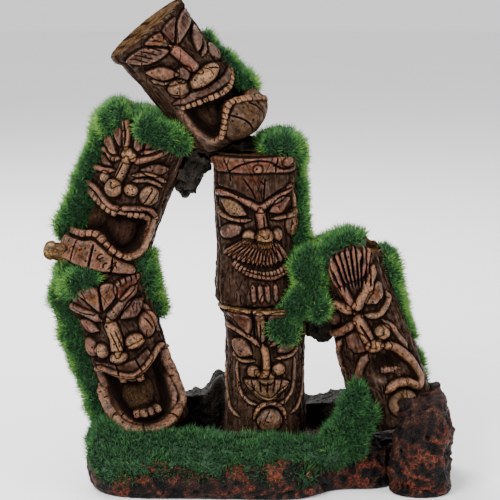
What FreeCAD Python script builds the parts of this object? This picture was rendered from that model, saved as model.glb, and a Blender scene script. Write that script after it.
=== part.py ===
import FreeCAD, Part
import math
import os
import Sketcher
from FreeCAD import Placement, Rotation, Vector

# Tiki arch aquarium ornament: six tiki-head logs lean on each other over a lava
# base, so that fish can swim through a tall arch and a low one. Resin castings
# are pegged and glued together, and pads of artificial moss are glued on them.
# Millimetres, +Z up, the faces look towards -Y, the origin is under the middle
# of the base.

doc = FreeCAD.newDocument("tiki_arch_ornament")

# ---------------------------------------------------------------- driving sizes

SIZES = {
    "log_radius": 20.0,
    "log_rim": 1.5,          # how far a log's head and foot rims stand proud
    "rim_height": 7.0,
    "foot_round": 3.0,
    "peg_radius": 6.0,
    "peg_length": 8.0,
    "long_peg_length": 22.0,
    "nose_relief": 5.0,
    "brow_relief": 3.0,
    "eye_relief": 2.2,
    "lip_relief": 3.2,
    "mouth_depth": 9.0,
    "tooth_depth": 3.5,
    "base_height": 17.0,
    "base_slope": 5.0,
    "ridge_height": 33.0,
    "outcrop_height": 44.0,
    "twig_radius": 5.0,
    "twig_length": 13.0,
    "moss_depth": 5.0,
    "moss_let_in": 3.0,      # how far a sleeve of moss reaches into its log's surface
}

# A log stands on the centre of its foot at x, y, z. Its axis leans from the
# vertical by lean, in the plan direction heading (0 is +X, 180 is -X, 270 is
# towards the front), and its face is turned about its own axis by turn. Its head
# is narrower or wider than its foot by the flare.
LOGS = {
    "left_lower": {"x": -48.5, "y": 0, "z": 22, "length": 80, "lean": 15.5, "heading": 180, "turn": -4,
                   "flare": 0},
    "left_upper": {"x": -72, "y": 0, "z": 101, "length": 76, "lean": 20.5, "heading": 0, "turn": -16,
                   "flare": 0},
    "top": {"x": -7, "y": 0, "z": 167, "length": 67, "lean": 39.5, "heading": 189, "turn": 22, "flare": 0},
    "centre_lower": {"x": 8, "y": 0, "z": 13, "length": 73, "lean": 0, "heading": 0, "turn": 0, "flare": 0},
    "centre_upper": {"x": 4, "y": 0, "z": 86, "length": 74, "lean": 1, "heading": 180, "turn": 8, "flare": 0},
    "right": {"x": 72, "y": -2, "z": 27, "length": 92, "lean": 15.5, "heading": 180, "turn": -4,
              "flare": -3.5},
}

sheet = doc.addObject("Spreadsheet::Sheet", "Sizes")


def fill_sheet():
    """Write each driving size into a row of its own, with its alias."""
    rows = dict(SIZES)
    for log, values in LOGS.items():
        for key, value in values.items():
            rows[f"{log}_{key}"] = value
    for row, (alias, value) in enumerate(rows.items(), start=1):
        sheet.set(f"A{row}", alias)
        sheet.set(f"B{row}", str(value))
        sheet.setAlias(f"B{row}", alias)
    doc.recompute()


def size(alias):
    """A driving size, read back from the sheet."""
    return float(sheet.get(alias))


# ------------------------------------------------------------ sketches and logs

def origin_plane(body, role):
    return next(item for item in body.Origin.OriginFeatures if item.Role == role)


def bound_value(sketch, constraint, expression):
    """Add a dimension and tie it to the sheet."""
    index = sketch.addConstraint(constraint)
    sketch.setExpression(f"Constraints[{index}]", expression)


def evaluate(expression):
    """The number that a sheet expression gives, for a sketch's first shape."""
    probe = sheet.evalExpression(expression.replace("Sizes.", ""))
    return float(probe)


def outline_sketch(body, name, points, stand_off="0"):
    """A closed polygon seen from the front. Each point is (x, z) as expressions,
    and stand_off is how far in front of the axis the sketch lies."""
    sketch = body.newObject("Sketcher::SketchObject", name)
    sketch.AttachmentSupport = [(origin_plane(body, "XZ_Plane"), "")]
    sketch.MapMode = "FlatFace"
    sketch.setExpression(".AttachmentOffset.Base.z", stand_off)
    corners = [Vector(evaluate(x), evaluate(z), 0) for x, z in points]
    count = len(corners)
    for i in range(count):
        sketch.addGeometry(Part.LineSegment(corners[i], corners[(i + 1) % count]), False)
    for i in range(count):
        sketch.addConstraint(Sketcher.Constraint("Coincident", i, 2, (i + 1) % count, 1))
    for i, (x, z) in enumerate(points):
        bound_value(sketch, Sketcher.Constraint("DistanceX", -1, 1, i, 1, corners[i].x), x)
        bound_value(sketch, Sketcher.Constraint("DistanceY", -1, 1, i, 1, corners[i].y), z)
    return sketch


def on_face(log, points):
    """Points across a log's face: x in log radii, z in log lengths."""
    return [(f"{x} * Sizes.log_radius", f"{z} * Sizes.{log}_length") for x, z in points]


def turned_log(body, log, peg):
    """The log itself: a peg, a rounded foot, a slight waist and a head rim."""
    radius = "Sizes.log_radius"
    head_radius = f"Sizes.log_radius + Sizes.{log}_flare"
    length = f"Sizes.{log}_length"
    outline = [
        ("0", f"-{peg}"),
        ("Sizes.peg_radius", f"-{peg}"),
        ("Sizes.peg_radius", "0"),
        (f"{radius} - Sizes.foot_round", "0"),
        (radius, "Sizes.foot_round"),
        (f"{radius} - Sizes.log_rim", f"0.5 * {length}"),
        (head_radius, f"{length} - Sizes.rim_height"),
        (f"{head_radius} + Sizes.log_rim", f"{length} - 0.6 * Sizes.rim_height"),
        (f"{head_radius} + Sizes.log_rim", length),
        ("0", length),
    ]
    sketch = outline_sketch(body, f"{log}_profile", outline)
    turned = body.newObject("PartDesign::Revolution", f"{log}_turned")
    turned.Profile = sketch
    turned.ReferenceAxis = (sketch, ["V_Axis"])
    turned.Angle = 360


def raise_feature(body, name, points, relief, start="0.6 * Sizes.log_radius"):
    """Pad an outline forwards out of the log, to relief beyond its radius."""
    sketch = outline_sketch(body, f"{name}_outline", points, start)
    pad = body.newObject("PartDesign::Pad", name)
    pad.Profile = sketch
    pad.setExpression("Length", f"Sizes.log_radius + {relief} - {start}")


def cut_mouth(body, log, points):
    """Hollow the open mouth out of the front of the log."""
    sketch = outline_sketch(body, f"{log}_mouth_outline", points, "1.5 * Sizes.log_radius")
    pocket = body.newObject("PartDesign::Pocket", f"{log}_mouth")
    pocket.Profile = sketch
    pocket.setExpression("Length", "0.5 * Sizes.log_radius + Sizes.mouth_depth")


def mirrored(points):
    return [(-x, z) for x, z in reversed(points)]


def mouth_shape(half_width, top, bottom):
    """An open mouth: its upper edge arches, and its corners are cut off."""
    right = [
        (0.55 * half_width, bottom),
        (half_width, 0.65 * bottom + 0.35 * top),
        (0.9 * half_width, 0.3 * bottom + 0.7 * top),
        (0.35 * half_width, top),
    ]
    return right + mirrored(right)


def tooth_row(body, log, half_width, top, height, count):
    """A row of square teeth that hang from the mouth's upper edge."""
    pitch = 1.3 * half_width / count
    first = -0.5 * pitch * (count - 1)
    for i in range(count):
        middle = first + i * pitch
        left = middle - 0.4 * pitch
        right = middle + 0.4 * pitch
        corners = [(left, top - height), (right, top - height), (right, top + 0.02), (left, top + 0.02)]
        raise_feature(body, f"{log}_tooth_{i + 1}", on_face(log, corners), "-Sizes.tooth_depth + 1.5")


def tiki_face(body, log, brow, nose_tip, nose_width, mouth):
    """Brows, eyes, nose, mouth, teeth and lower lip, as heights in log lengths."""
    half_width, top, bottom, teeth = mouth
    eye = brow - 0.08
    right_brow = [(0.08, brow - 0.03), (0.8, brow + 0.07), (0.8, brow + 0.12), (0.08, brow + 0.04)]
    right_eye = [(0.25, eye), (0.45, eye - 0.05), (0.7, eye), (0.68, eye + 0.05), (0.45, eye + 0.06)]
    nose = [
        (-0.5 * nose_width, nose_tip),
        (0.5 * nose_width, nose_tip),
        (0.5 * nose_width, nose_tip + 0.06),
        (0.1, brow + 0.02),
        (-0.1, brow + 0.02),
        (-0.5 * nose_width, nose_tip + 0.06),
    ]
    lip_side = 0.8 * half_width
    lower_lip = [
        (-lip_side, bottom - 0.07),
        (lip_side, bottom - 0.07),
        (lip_side, bottom - 0.01),
        (-lip_side, bottom - 0.01),
    ]
    cut_mouth(body, log, on_face(log, mouth_shape(half_width, top, bottom)))
    for side, flip in (("right", False), ("left", True)):
        brow_shape = mirrored(right_brow) if flip else right_brow
        eye_shape = mirrored(right_eye) if flip else right_eye
        raise_feature(body, f"{log}_{side}_brow", on_face(log, brow_shape), "Sizes.brow_relief")
        raise_feature(body, f"{log}_{side}_eye", on_face(log, eye_shape), "Sizes.eye_relief - 1")
    raise_feature(body, f"{log}_nose", on_face(log, nose), "Sizes.nose_relief")
    raise_feature(body, f"{log}_lower_lip", on_face(log, lower_lip), "Sizes.lip_relief")
    tooth_row(body, log, half_width, top, 0.06, teeth)


def log_placement(log):
    """Where the log stands: leaning about its foot, with its face turned."""
    heading = math.radians(size(f"{log}_heading"))
    lean_axis = Vector(-math.sin(heading), math.cos(heading), 0)
    lean = Rotation(lean_axis, size(f"{log}_lean"))
    turn = Rotation(Vector(0, 0, 1), size(f"{log}_turn"))
    foot = Vector(size(f"{log}_x"), size(f"{log}_y"), size(f"{log}_z"))
    return Placement(foot, lean * turn)


def carved_log(log, peg="Sizes.peg_length", **face):
    """One tiki log as a body, before its neighbours are let into it."""
    body = doc.addObject("PartDesign::Body", f"{log}_casting")
    turned_log(body, log, peg)
    tiki_face(body, log, **face)
    body.Placement = log_placement(log)
    doc.recompute()
    return body


# ------------------------------------------------------------- rock and moss

def smooth_loop(points, height, inset=0.0):
    """A closed smooth loop through plan points, pulled in towards their middle."""
    centre = Vector(0, 0, 0)
    for x, y in points:
        centre += Vector(x, y, 0) * (1 / len(points))
    loop = []
    for x, y in points:
        spoke = Vector(x, y, 0) - centre
        shrunk = spoke * (1 - inset / spoke.Length)
        loop.append(centre + shrunk + Vector(0, 0, height))
    curve = Part.BSplineCurve()
    curve.interpolate(loop, PeriodicFlag=True)
    return Part.Wire(curve.toShape())


def rock_slab(points, levels):
    """A lump of rock: plan loops at (height, inset) levels, lofted together."""
    loops = [smooth_loop(points, height, inset) for height, inset in levels]
    return Part.makeLoft(loops, True, True)


def lump(centre, radii, lean=0.0, seam=0.0):
    """An ellipsoid, leaning towards +X by lean degrees. Its seam starts on the +X
    side and can be turned away, clear of a neighbour that is cut from it."""
    ball = Part.makeSphere(1.0)
    ball.rotate(Vector(0, 0, 0), Vector(0, 0, 1), seam)
    stretch = FreeCAD.Matrix()
    stretch.scale(Vector(*radii))
    shape = ball.transformGeometry(stretch)
    shape.rotate(Vector(0, 0, 0), Vector(0, 1, 0), lean)
    shape.translate(Vector(*centre))
    return shape


def sleeve_on(log, low, high, start, end, depth):
    """A moss sleeve round part of a log: low and high in log lengths, start and
    end in degrees about its axis, where 0 is +X and 270 is the front."""
    inner = size("log_radius") - size("moss_let_in")
    outer = size("log_radius") + depth
    bottom = low * size(f"{log}_length")
    top = high * size(f"{log}_length")
    profile = Part.makePolygon([
        Vector(inner, 0, bottom),
        Vector(outer - 0.4 * depth, 0, bottom),
        Vector(outer, 0, bottom + depth),
        Vector(outer, 0, top - depth),
        Vector(outer - 0.4 * depth, 0, top),
        Vector(inner, 0, top),
        Vector(inner, 0, bottom),
    ])
    shape = Part.Face(profile).revolve(Vector(0, 0, 0), Vector(0, 0, 1), end - start)
    shape.rotate(Vector(0, 0, 0), Vector(0, 0, 1), start - size(f"{log}_turn"))
    shape.Placement = log_placement(log) * shape.Placement
    return shape


def keep_largest(shape):
    return max(shape.Solids, key=lambda solid: solid.Volume)


def add_piece(name, shape, neighbours):
    """A shaped piece, with its neighbours cut out of it so that they meet."""
    reach = shape.optimalBoundingBox()
    cutters = [item.Shape for item in neighbours if reach.intersect(item.Shape.optimalBoundingBox())]
    body = keep_largest(shape.cut(cutters)) if cutters else shape
    piece = doc.addObject("Part::Feature", name)
    piece.Label = name
    piece.Shape = body
    return piece


def seated(name, casting, neighbours):
    """A casting with its neighbours' ends and pegs let into it."""
    base = casting
    for i, neighbour in enumerate(neighbours):
        cut = doc.addObject("Part::Cut", f"{name}_seat_{i + 1}")
        cut.Base = base
        cut.Tool = neighbour
        base = cut
    doc.recompute()
    base.Label = name
    return base


# ------------------------------------------------------------------- assembly

fill_sheet()

top_totem = carved_log("top", "Sizes.long_peg_length", brow=0.6, nose_tip=0.36, nose_width=0.5,
                       mouth=(0.85, 0.3, 0.12, 6))
left_upper_casting = carved_log("left_upper", brow=0.7, nose_tip=0.5, nose_width=0.6,
                                mouth=(0.85, 0.42, 0.14, 6))
left_lower_casting = carved_log("left_lower", brow=0.75, nose_tip=0.45, nose_width=0.6,
                                mouth=(0.85, 0.36, 0.12, 2))
centre_upper_casting = carved_log("centre_upper", brow=0.68, nose_tip=0.45, nose_width=0.5,
                                  mouth=(0.6, 0.33, 0.22, 5))
centre_lower_casting = carved_log("centre_lower", brow=0.68, nose_tip=0.46, nose_width=0.5,
                                  mouth=(0.6, 0.36, 0.24, 4))
right_casting = carved_log("right", brow=0.62, nose_tip=0.4, nose_width=0.5,
                           mouth=(0.75, 0.36, 0.18, 4))
top_totem.Label = "top_totem"

left_upper_totem = seated("left_upper_totem", left_upper_casting, [top_totem])
left_lower_totem = seated("left_lower_totem", left_lower_casting, [left_upper_totem])
centre_upper_totem = seated("centre_upper_totem", centre_upper_casting, [top_totem, left_upper_totem])
centre_lower_totem = seated("centre_lower_totem", centre_lower_casting, [centre_upper_totem])
right_totem = right_casting
right_totem.Label = "right_totem"
TOTEMS = [left_lower_totem, left_upper_totem, top_totem, centre_lower_totem, centre_upper_totem, right_totem]

base_top = size("base_height")
slope = size("base_slope")
BASE_PLAN = [(-78, -22), (-66, -42), (-35, -47), (0, -49), (30, -45), (44, -33), (60, -31), (76, -18),
             (80, 10), (66, 34), (30, 46), (-15, 47), (-55, 40), (-76, 18)]
OUTCROP_PLAN = [(66, -30), (74, -44), (92, -43), (99, -26), (99, 0), (94, 18), (82, 22), (74, 0)]
RIDGE_PLAN = [(-42, 24), (-22, 17), (5, 21), (30, 17), (58, 22), (62, 34), (30, 41), (-8, 42), (-38, 37)]

outcrop_top = size("outcrop_height")
ridge_top = size("ridge_height")
right_outcrop = add_piece(
    "right_outcrop",
    rock_slab(OUTCROP_PLAN, [(0, 1.5), (9, 0), (0.65 * outcrop_top, 2), (outcrop_top, 8)]),
    [right_totem])
rear_ridge = add_piece(
    "rear_ridge",
    rock_slab(RIDGE_PLAN, [(base_top - 8, 0), (0.75 * ridge_top, 2), (ridge_top, 6)]),
    TOTEMS)
base_rock = add_piece(
    "base_rock",
    rock_slab(BASE_PLAN, [(0, 2), (0.4 * base_top, 0), (0.8 * base_top, 2), (base_top, slope)]),
    [right_outcrop, rear_ridge] + TOTEMS)
junction_rubble = add_piece(
    "junction_rubble",
    lump((-24, 3, 160), (12, 14, 13)).fuse([
        lump((-30, 3, 150), (9, 12, 13)),
        lump((-2, 2, 158), (16, 13, 9)),
    ]),
    TOTEMS)
arch_bridge_rock = add_piece(
    "arch_bridge_rock",
    lump((34, 4, 86), (15, 13, 20), -12, seam=90),
    TOTEMS)

twig = Part.makeCylinder(size("twig_radius"), size("twig_length"), Vector(-96, -8, 113), Vector(1, 0.2, -0.2))
twig_stub = add_piece("twig_stub", twig, TOTEMS)
ROCKS = [base_rock, right_outcrop, rear_ridge, junction_rubble, arch_bridge_rock, twig_stub]

# Moss sleeves: name, log, low and high in log lengths, start and end in degrees.
SLEEVES = [
    ("left_lower_flank_moss", "left_lower", 0.1, 0.86, 150, 232),
    ("left_lower_shoulder_moss", "left_lower", 0.6, 0.93, 318, 380),
    ("left_upper_flank_moss", "left_upper", 0.1, 0.8, 150, 215),
    ("top_back_moss", "top", 0.22, 0.88, 0, 85),
    ("centre_flank_moss", "centre_upper", 0.12, 0.8, -35, 60),
    ("right_flank_moss", "right", 0.08, 0.85, -35, 70),
]
# Moss cushions: name, centre and radii of each lump.
CUSHIONS = [
    ("left_upper_cap_moss", [((-51, 2, 178), (25, 21, 15))]),
    ("left_lower_top_moss", [((-78, 0, 99), (18, 19, 14))]),
    ("centre_cap_moss", [((18, 2, 164), (13, 17, 15))]),
    ("bridge_moss", [((22, -14, 88), (18, 12, 20)), ((30, -4, 104), (15, 16, 14))]),
    ("right_top_moss", [((44, 2, 112), (16, 17, 12))]),
]

moss_depth = size("moss_depth")
FRONT_BAND = Part.makeBox(124, 40, 40, Vector(-86, -60, 4))
LEFT_BAND = Part.makeBox(40, 60, 30, Vector(-90, -19.5, 6))


def moss_band(cover, height):
    """Moss that clothes the base's flank: the base grown outwards, kept inside
    the cover, with the base itself still to be cut out of it."""
    grown = [(4, -moss_depth), (height - 6, -moss_depth), (height, 2)]
    return rock_slab(BASE_PLAN, grown).common(cover)


moss_pads = []
for name, log, low, high, start, end in SLEEVES:
    shape = sleeve_on(log, low, high, start, end, moss_depth)
    moss_pads.append(add_piece(name, shape, TOTEMS + ROCKS + moss_pads))
for name, lumps in CUSHIONS:
    shape = lump(*lumps[0])
    for centre, radii in lumps[1:]:
        shape = shape.fuse(lump(centre, radii))
    moss_pads.append(add_piece(name, shape, TOTEMS + ROCKS + moss_pads))
moss_pads.append(add_piece("base_front_moss", moss_band(FRONT_BAND, 27), TOTEMS + ROCKS + moss_pads))
moss_pads.append(add_piece("base_left_moss", moss_band(LEFT_BAND, 33), TOTEMS + ROCKS + moss_pads))
riser = lump((52, -27, 26), (12, 13, 22), 12)
moss_pads.append(add_piece("base_riser_moss", riser, TOTEMS + ROCKS + moss_pads))

# --------------------------------------------------------------------- checks

doc.recompute()
for item in doc.Objects:
    if "Invalid" in item.State or "Error" in item.State:
        raise RuntimeError(f"{item.Name} failed: {item.State}")

os.makedirs("parts", exist_ok=True)
for piece in TOTEMS + ROCKS + moss_pads:
    shape = piece.Shape
    if shape.isNull() or not shape.isValid() or len(shape.Solids) != 1:
        raise RuntimeError(f"{piece.Label} is not one valid solid")
    shape.exportStep(f"parts/{piece.Label}.step")
    box = shape.BoundBox
    print(f"{piece.Label:26s} {shape.Volume:9.0f} mm3  x {box.XMin:6.1f} {box.XMax:6.1f}"
          f"  y {box.YMin:6.1f} {box.YMax:6.1f}  z {box.ZMin:6.1f} {box.ZMax:6.1f}")
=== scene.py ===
import math

import bmesh
import bpy
import numpy as np
from mathutils import Matrix, Vector


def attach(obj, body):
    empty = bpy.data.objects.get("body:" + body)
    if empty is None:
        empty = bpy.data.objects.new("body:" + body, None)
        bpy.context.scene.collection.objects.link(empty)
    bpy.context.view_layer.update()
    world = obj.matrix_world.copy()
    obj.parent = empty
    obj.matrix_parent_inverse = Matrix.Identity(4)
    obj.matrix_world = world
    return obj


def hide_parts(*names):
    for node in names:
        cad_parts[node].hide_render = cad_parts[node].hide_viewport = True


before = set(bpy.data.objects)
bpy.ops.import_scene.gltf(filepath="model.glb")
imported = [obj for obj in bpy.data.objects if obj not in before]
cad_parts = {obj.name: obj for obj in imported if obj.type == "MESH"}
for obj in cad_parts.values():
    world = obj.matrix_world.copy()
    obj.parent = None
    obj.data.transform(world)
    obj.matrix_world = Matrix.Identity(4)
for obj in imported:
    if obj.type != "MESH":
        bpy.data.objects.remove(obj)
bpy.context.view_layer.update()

# The looks of the tiki arch ornament. Each log is a height field carved with
# ridges, grooves, domes, hollows and teeth, each rock is its CAD solid remeshed
# and roughened, and each moss pad is a backing with thousands of fibres.

MM = 0.001
LOG_RADIUS = 20.0
DETAIL = 1.0
GRID_COLUMNS = int(372 * DETAIL)
GRID_ROWS = int(226 * DETAIL)
WORM_HOLES = 110
SAWN_RINGS = (0.985, 0.95, 0.9, 0.83, 0.75, 0.66, 0.56, 0.45, 0.33, 0.2, 0.08)

FIBRE_LENGTH = 4.2
FIBRE_WIDTH = 0.33 / DETAIL
FIBRES_PER_MM2 = 5.5
MOST_FIBRES = int(18500 * DETAIL * DETAIL)

PICTURE_WIDTH = 0.242
CAMERA_DISTANCE = 1.0
CAMERA_ELEVATION = math.radians(11)

# Each log stands on the centre of its foot, in millimetres, as in the CAD: its axis leans from
# the vertical in the plan direction heading, and its face is turned about the axis.
LOGS = {
    "left_lower": {"foot": (-48.5, 0, 22), "length": 80, "lean": 15.5, "heading": 180, "turn": -4},
    "left_upper": {"foot": (-72, 0, 101), "length": 76, "lean": 20.5, "heading": 0, "turn": -16},
    "top": {"foot": (-7, 0, 167), "length": 67, "lean": 39.5, "heading": 189, "turn": 22},
    "centre_lower": {"foot": (8, 0, 13), "length": 73, "lean": 0, "heading": 0, "turn": 0},
    "centre_upper": {"foot": (4, 0, 86), "length": 74, "lean": 1, "heading": 180, "turn": 8},
    "right": {"foot": (72, -2, 27), "length": 92, "lean": 15.5, "heading": 180, "turn": -4},
}


# ------------------------------------------------------------------ noise

def smoothstep(low, high, value):
    """0 below low, 1 above high, and a smooth rise between."""
    t = np.clip((value - low) / (high - low), 0, 1)
    return t * t * (3 - 2 * t)


LATTICE = np.random.default_rng(7).random(4096)
HASH_PRIMES = (73856093, 19349663, 83492791)


def lattice_value(i, j, k):
    """A fixed random value for each whole-number place."""
    index = (i * HASH_PRIMES[0]) ^ (j * HASH_PRIMES[1]) ^ (k * HASH_PRIMES[2])
    return LATTICE[index & (len(LATTICE) - 1)]


def noise(points, size, seed=0):
    """Smooth value noise from -1 to 1 at points (n, 3), with features about size across."""
    p = points / size + seed * 17.3
    cell = np.floor(p).astype(np.int64)
    f = p - cell
    f = f * f * (3 - 2 * f)
    i, j, k = cell.T
    x, y, z = f.T
    total = np.zeros(len(p))
    for di in (0, 1):
        for dj in (0, 1):
            for dk in (0, 1):
                weight = (x if di else 1 - x) * (y if dj else 1 - y) * (z if dk else 1 - z)
                total += weight * lattice_value(i + di, j + dj, k + dk)
    return 2 * total - 1


def fractal(points, size, octaves=3, seed=0):
    """Several sizes of noise added up, each half the last."""
    total = np.zeros(len(points))
    for octave in range(octaves):
        total += noise(points, size / 2 ** octave, seed + octave) / 2 ** octave
    return total


def ridged(points, size, octaves=3, seed=0):
    """Noise with sharp crests, from 0 in the valleys to about 1 on the crests."""
    total = np.zeros(len(points))
    for octave in range(octaves):
        total += (1 - np.abs(noise(points, size / 2 ** octave, seed + octave))) / 2 ** octave
    return total / (2 - 0.5 ** (octaves - 1))


def blurred(grid, reach):
    """A grid averaged over reach cells each way: it wraps round across, and ends level."""
    across = np.concatenate([grid[:, -reach:], grid, grid[:, :reach]], axis=1)
    sums = np.cumsum(np.pad(across, ((0, 0), (1, 0))), axis=1)
    span = 2 * reach + 1
    grid = (sums[:, span:] - sums[:, :-span]) / span
    along = np.pad(grid, ((reach, reach), (0, 0)), mode="edge")
    sums = np.cumsum(np.pad(along, ((1, 0), (0, 0))), axis=0)
    return (sums[span:] - sums[:-span]) / span


# ------------------------------------------------------------- carved logs

def lean_rotation(log):
    """The turn of a log's face about its axis, and then the lean of the axis."""
    heading = math.radians(log["heading"])
    axis = Vector((-math.sin(heading), math.cos(heading), 0))
    lean = Matrix.Rotation(math.radians(log["lean"]), 3, axis)
    turn = Matrix.Rotation(math.radians(log["turn"]), 3, "Z")
    return np.array(lean @ turn)


def smooth_line(points, closed=False, steps=6):
    """A smooth curve through the points, as a denser list of points."""
    points = np.array(points, float)
    if closed:
        points = np.vstack([points[-1:], points, points[:2]])
    else:
        points = np.vstack([2 * points[0] - points[1], points, 2 * points[-1] - points[-2]])
    out = []
    for a, b, c, d in zip(points, points[1:], points[2:], points[3:]):
        for t in np.arange(steps) / steps:
            out.append(0.5 * (2 * b + (c - a) * t + (2 * a - 5 * b + 4 * c - d) * t ** 2
                              + (3 * b - a - 3 * c + d) * t ** 3))
    out.append(points[-2])
    return np.array(out)


class CarvedLog:
    """A log as a height field. A place on it is (angle, height): degrees from the middle of
    the face, + towards the viewer's right, and 0 at the foot to 1 at the head."""

    def __init__(self, name, seed):
        values = LOGS[name]
        self.name = name
        self.seed = seed
        self.length = values["length"]
        self.foot = np.array(values["foot"], float)
        self.rotation = lean_rotation(values)
        t = np.arange(GRID_COLUMNS) / GRID_COLUMNS * 2 - 1
        self.angles = np.pi * (0.55 * t + 0.45 * t ** 3)
        self.levels = np.linspace(0, self.length, GRID_ROWS)
        angle, level = np.meshgrid(self.angles, self.levels)
        self.s = angle * LOG_RADIUS
        self.z = level
        self.angle = angle
        self.relief = np.zeros_like(angle)
        self.ochre = np.zeros_like(angle)
        self.red = np.zeros_like(angle)
        # painted shade: how dark each place is painted for the shade in the cuts, hollows, mouths and holes
        self.painted_shade = np.zeros_like(angle)
        self.head_drop = np.zeros_like(angle)
        self.around = np.stack([LOG_RADIUS * np.sin(angle), -LOG_RADIUS * np.cos(angle), level], axis=-1)

    def place(self, point):
        """(angle, height) to millimetres across and along the unrolled surface."""
        angle, height = point
        return np.array([math.radians(angle) * LOG_RADIUS, height * self.length])

    def line(self, points, closed=False):
        return smooth_line([self.place(p) for p in points], closed)

    def near(self, line):
        """Distance from each grid place to a line, and how far along it, 0 to 1."""
        best = np.full(self.s.shape, 1e9)
        along = np.zeros_like(self.s)
        spans = len(line) - 1
        for i, (a, b) in enumerate(zip(line, line[1:])):
            step = b - a
            size = step @ step + 1e-12
            t = np.clip(((self.s - a[0]) * step[0] + (self.z - a[1]) * step[1]) / size, 0, 1)
            far = (self.s - a[0] - t * step[0]) ** 2 + (self.z - a[1] - t * step[1]) ** 2
            closer = far < best
            best = np.where(closer, far, best)
            along = np.where(closer, (i + t) / spans, along)
        return np.sqrt(best), along

    def inside(self, line):
        """Whether each grid place lies inside a closed line."""
        found = np.zeros(self.s.shape, bool)
        for a, b in zip(line, np.roll(line, -1, axis=0)):
            crosses = (a[1] > self.z) != (b[1] > self.z)
            at = (b[0] - a[0]) * (self.z - a[1]) / (b[1] - a[1] + 1e-12) + a[0]
            found ^= crosses & (self.s < at)
        return found

    def depth_inside(self, points):
        """Distance to a closed outline, positive inside it."""
        line = self.line(points, closed=True)
        distance, _ = self.near(line)
        return np.where(self.inside(line), distance, -distance)

    def tint(self, amount, ochre, red):
        """Marks where ochre and red are brushed on, as far as each is not marked already."""
        self.ochre = np.maximum(self.ochre, ochre * amount)
        self.red = np.maximum(self.red, red * amount)

    def ridge(self, points, width, rise, ochre=0.0, red=0.0, taper=0.15):
        """A raised strap along a curve, outlined by a fine cut on each side."""
        distance, along = self.near(self.line(points))
        ends = smoothstep(0, taper, along) * smoothstep(0, taper, 1 - along) * 0.7 + 0.3
        half = 0.5 * width * ends
        body = np.clip(1 - (distance / half) ** 2, 0, 1) ** 0.6
        cut = np.exp(-((distance - half - 0.35) / 0.35) ** 2)
        self.relief += rise * ends * body - 0.45 * cut
        # the fine cuts beside the strap are painted dark as shade
        self.painted_shade = np.maximum(self.painted_shade, 0.75 * cut)
        self.tint(body, ochre, red)

    def groove(self, points, width, depth):
        """A cut with sloping sides along a curve."""
        distance, along = self.near(self.line(points))
        ends = smoothstep(0, 0.12, along) * smoothstep(0, 0.12, 1 - along) * 0.6 + 0.4
        cut = np.clip(1 - distance / (0.5 * width * ends), 0, 1)
        self.relief -= depth * cut
        # the groove is painted dark as shade
        self.painted_shade = np.maximum(self.painted_shade, np.minimum(1, 1.6 * cut))

    def local_axes(self, x, z, tilt):
        """Grid places about a point in millimetres, along axes turned by tilt degrees."""
        c = math.cos(math.radians(tilt))
        n = math.sin(math.radians(tilt))
        u = (self.s - x) * c + (self.z - z) * n
        v = (self.z - z) * c - (self.s - x) * n
        return u, v

    def local(self, centre, tilt):
        x, z = self.place(centre)
        return self.local_axes(x, z, tilt)

    def dome(self, centre, half_width, half_height, rise, tilt=0.0, ochre=0.0, red=0.0, outline=0.5):
        """A rounded boss, with a fine cut round it."""
        u, v = self.local(centre, tilt)
        rho = np.sqrt((u / half_width) ** 2 + (v / half_height) ** 2)
        body = np.clip(1 - rho ** 2, 0, 1) ** 0.6
        gap = (rho - 1) * min(half_width, half_height) - 0.3
        cut = np.exp(-(gap / 0.45) ** 2)
        self.relief += rise * body - outline * cut
        # the cut round the boss is painted dark as shade
        self.painted_shade = np.maximum(self.painted_shade, np.minimum(1, 1.4 * outline) * cut)
        self.tint(body, ochre, red)

    def almond(self, centre, half_width, half_height, rise, tilt, ochre=0.0, red=0.0):
        """A bulging almond-shaped eye in a sunk socket."""
        u, v = self.local(centre, tilt)
        socket = np.clip(1 - (u / (1.5 * half_width)) ** 2 - (v / (1.9 * half_height)) ** 2, 0, 1)
        self.relief -= 1.6 * socket
        lens = np.clip(1 - np.abs(u / half_width) ** 1.7, 0, 1)
        rho = np.abs(v) / (half_height * np.maximum(lens, 0.02))
        body = np.clip(1 - rho ** 2, 0, 1) ** 0.5 * lens ** 0.4
        edge = (rho - 1) * half_height * lens
        cut = np.exp(-((edge - 0.3) / 0.4) ** 2) * (np.abs(u) < 1.05 * half_width)
        self.relief += rise * body - 0.5 * cut
        # the cut round the eye is painted dark as shade
        self.painted_shade = np.maximum(self.painted_shade, cut)
        self.tint(body, ochre, red)

    def bowl(self, centre, half_width, half_height, depth, tilt=0.0):
        """A soft hollow with no edge."""
        u, v = self.local(centre, tilt)
        body = np.clip(1 - (u / half_width) ** 2 - (v / half_height) ** 2, 0, 1) ** 2
        self.relief -= depth * body
        # the hollow is painted half dark as shade
        self.painted_shade = np.maximum(self.painted_shade, 0.5 * body)

    def cavity(self, points, depth, wall=1.6):
        """An open mouth: the surface drops to a level floor inside the outline."""
        into = self.depth_inside(points)
        share = smoothstep(-0.2, wall, into)
        self.relief = self.relief * (1 - share) - depth * share
        shade = share * np.exp(-np.maximum(into, 0) / 3.0)
        # the mouth is painted dark as shade, most of all near its walls
        self.painted_shade = np.maximum(self.painted_shade, np.minimum(1, 0.45 * share + 0.9 * shade))
        self.ochre *= 1 - share
        self.red *= 1 - share

    def plate(self, points, rise, bevel=1.0, ochre=0.0, red=0.0):
        """A raised flat area with bevelled edges and a cut round it."""
        into = self.depth_inside(points)
        share = smoothstep(0, bevel, into)
        cut = np.exp(-((into + 0.3) / 0.35) ** 2)
        self.relief += rise * share - 0.45 * cut
        # the cut round the plate is painted dark as shade
        self.painted_shade = np.maximum(self.painted_shade, 0.8 * cut)
        self.tint(share, ochre, red)

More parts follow.
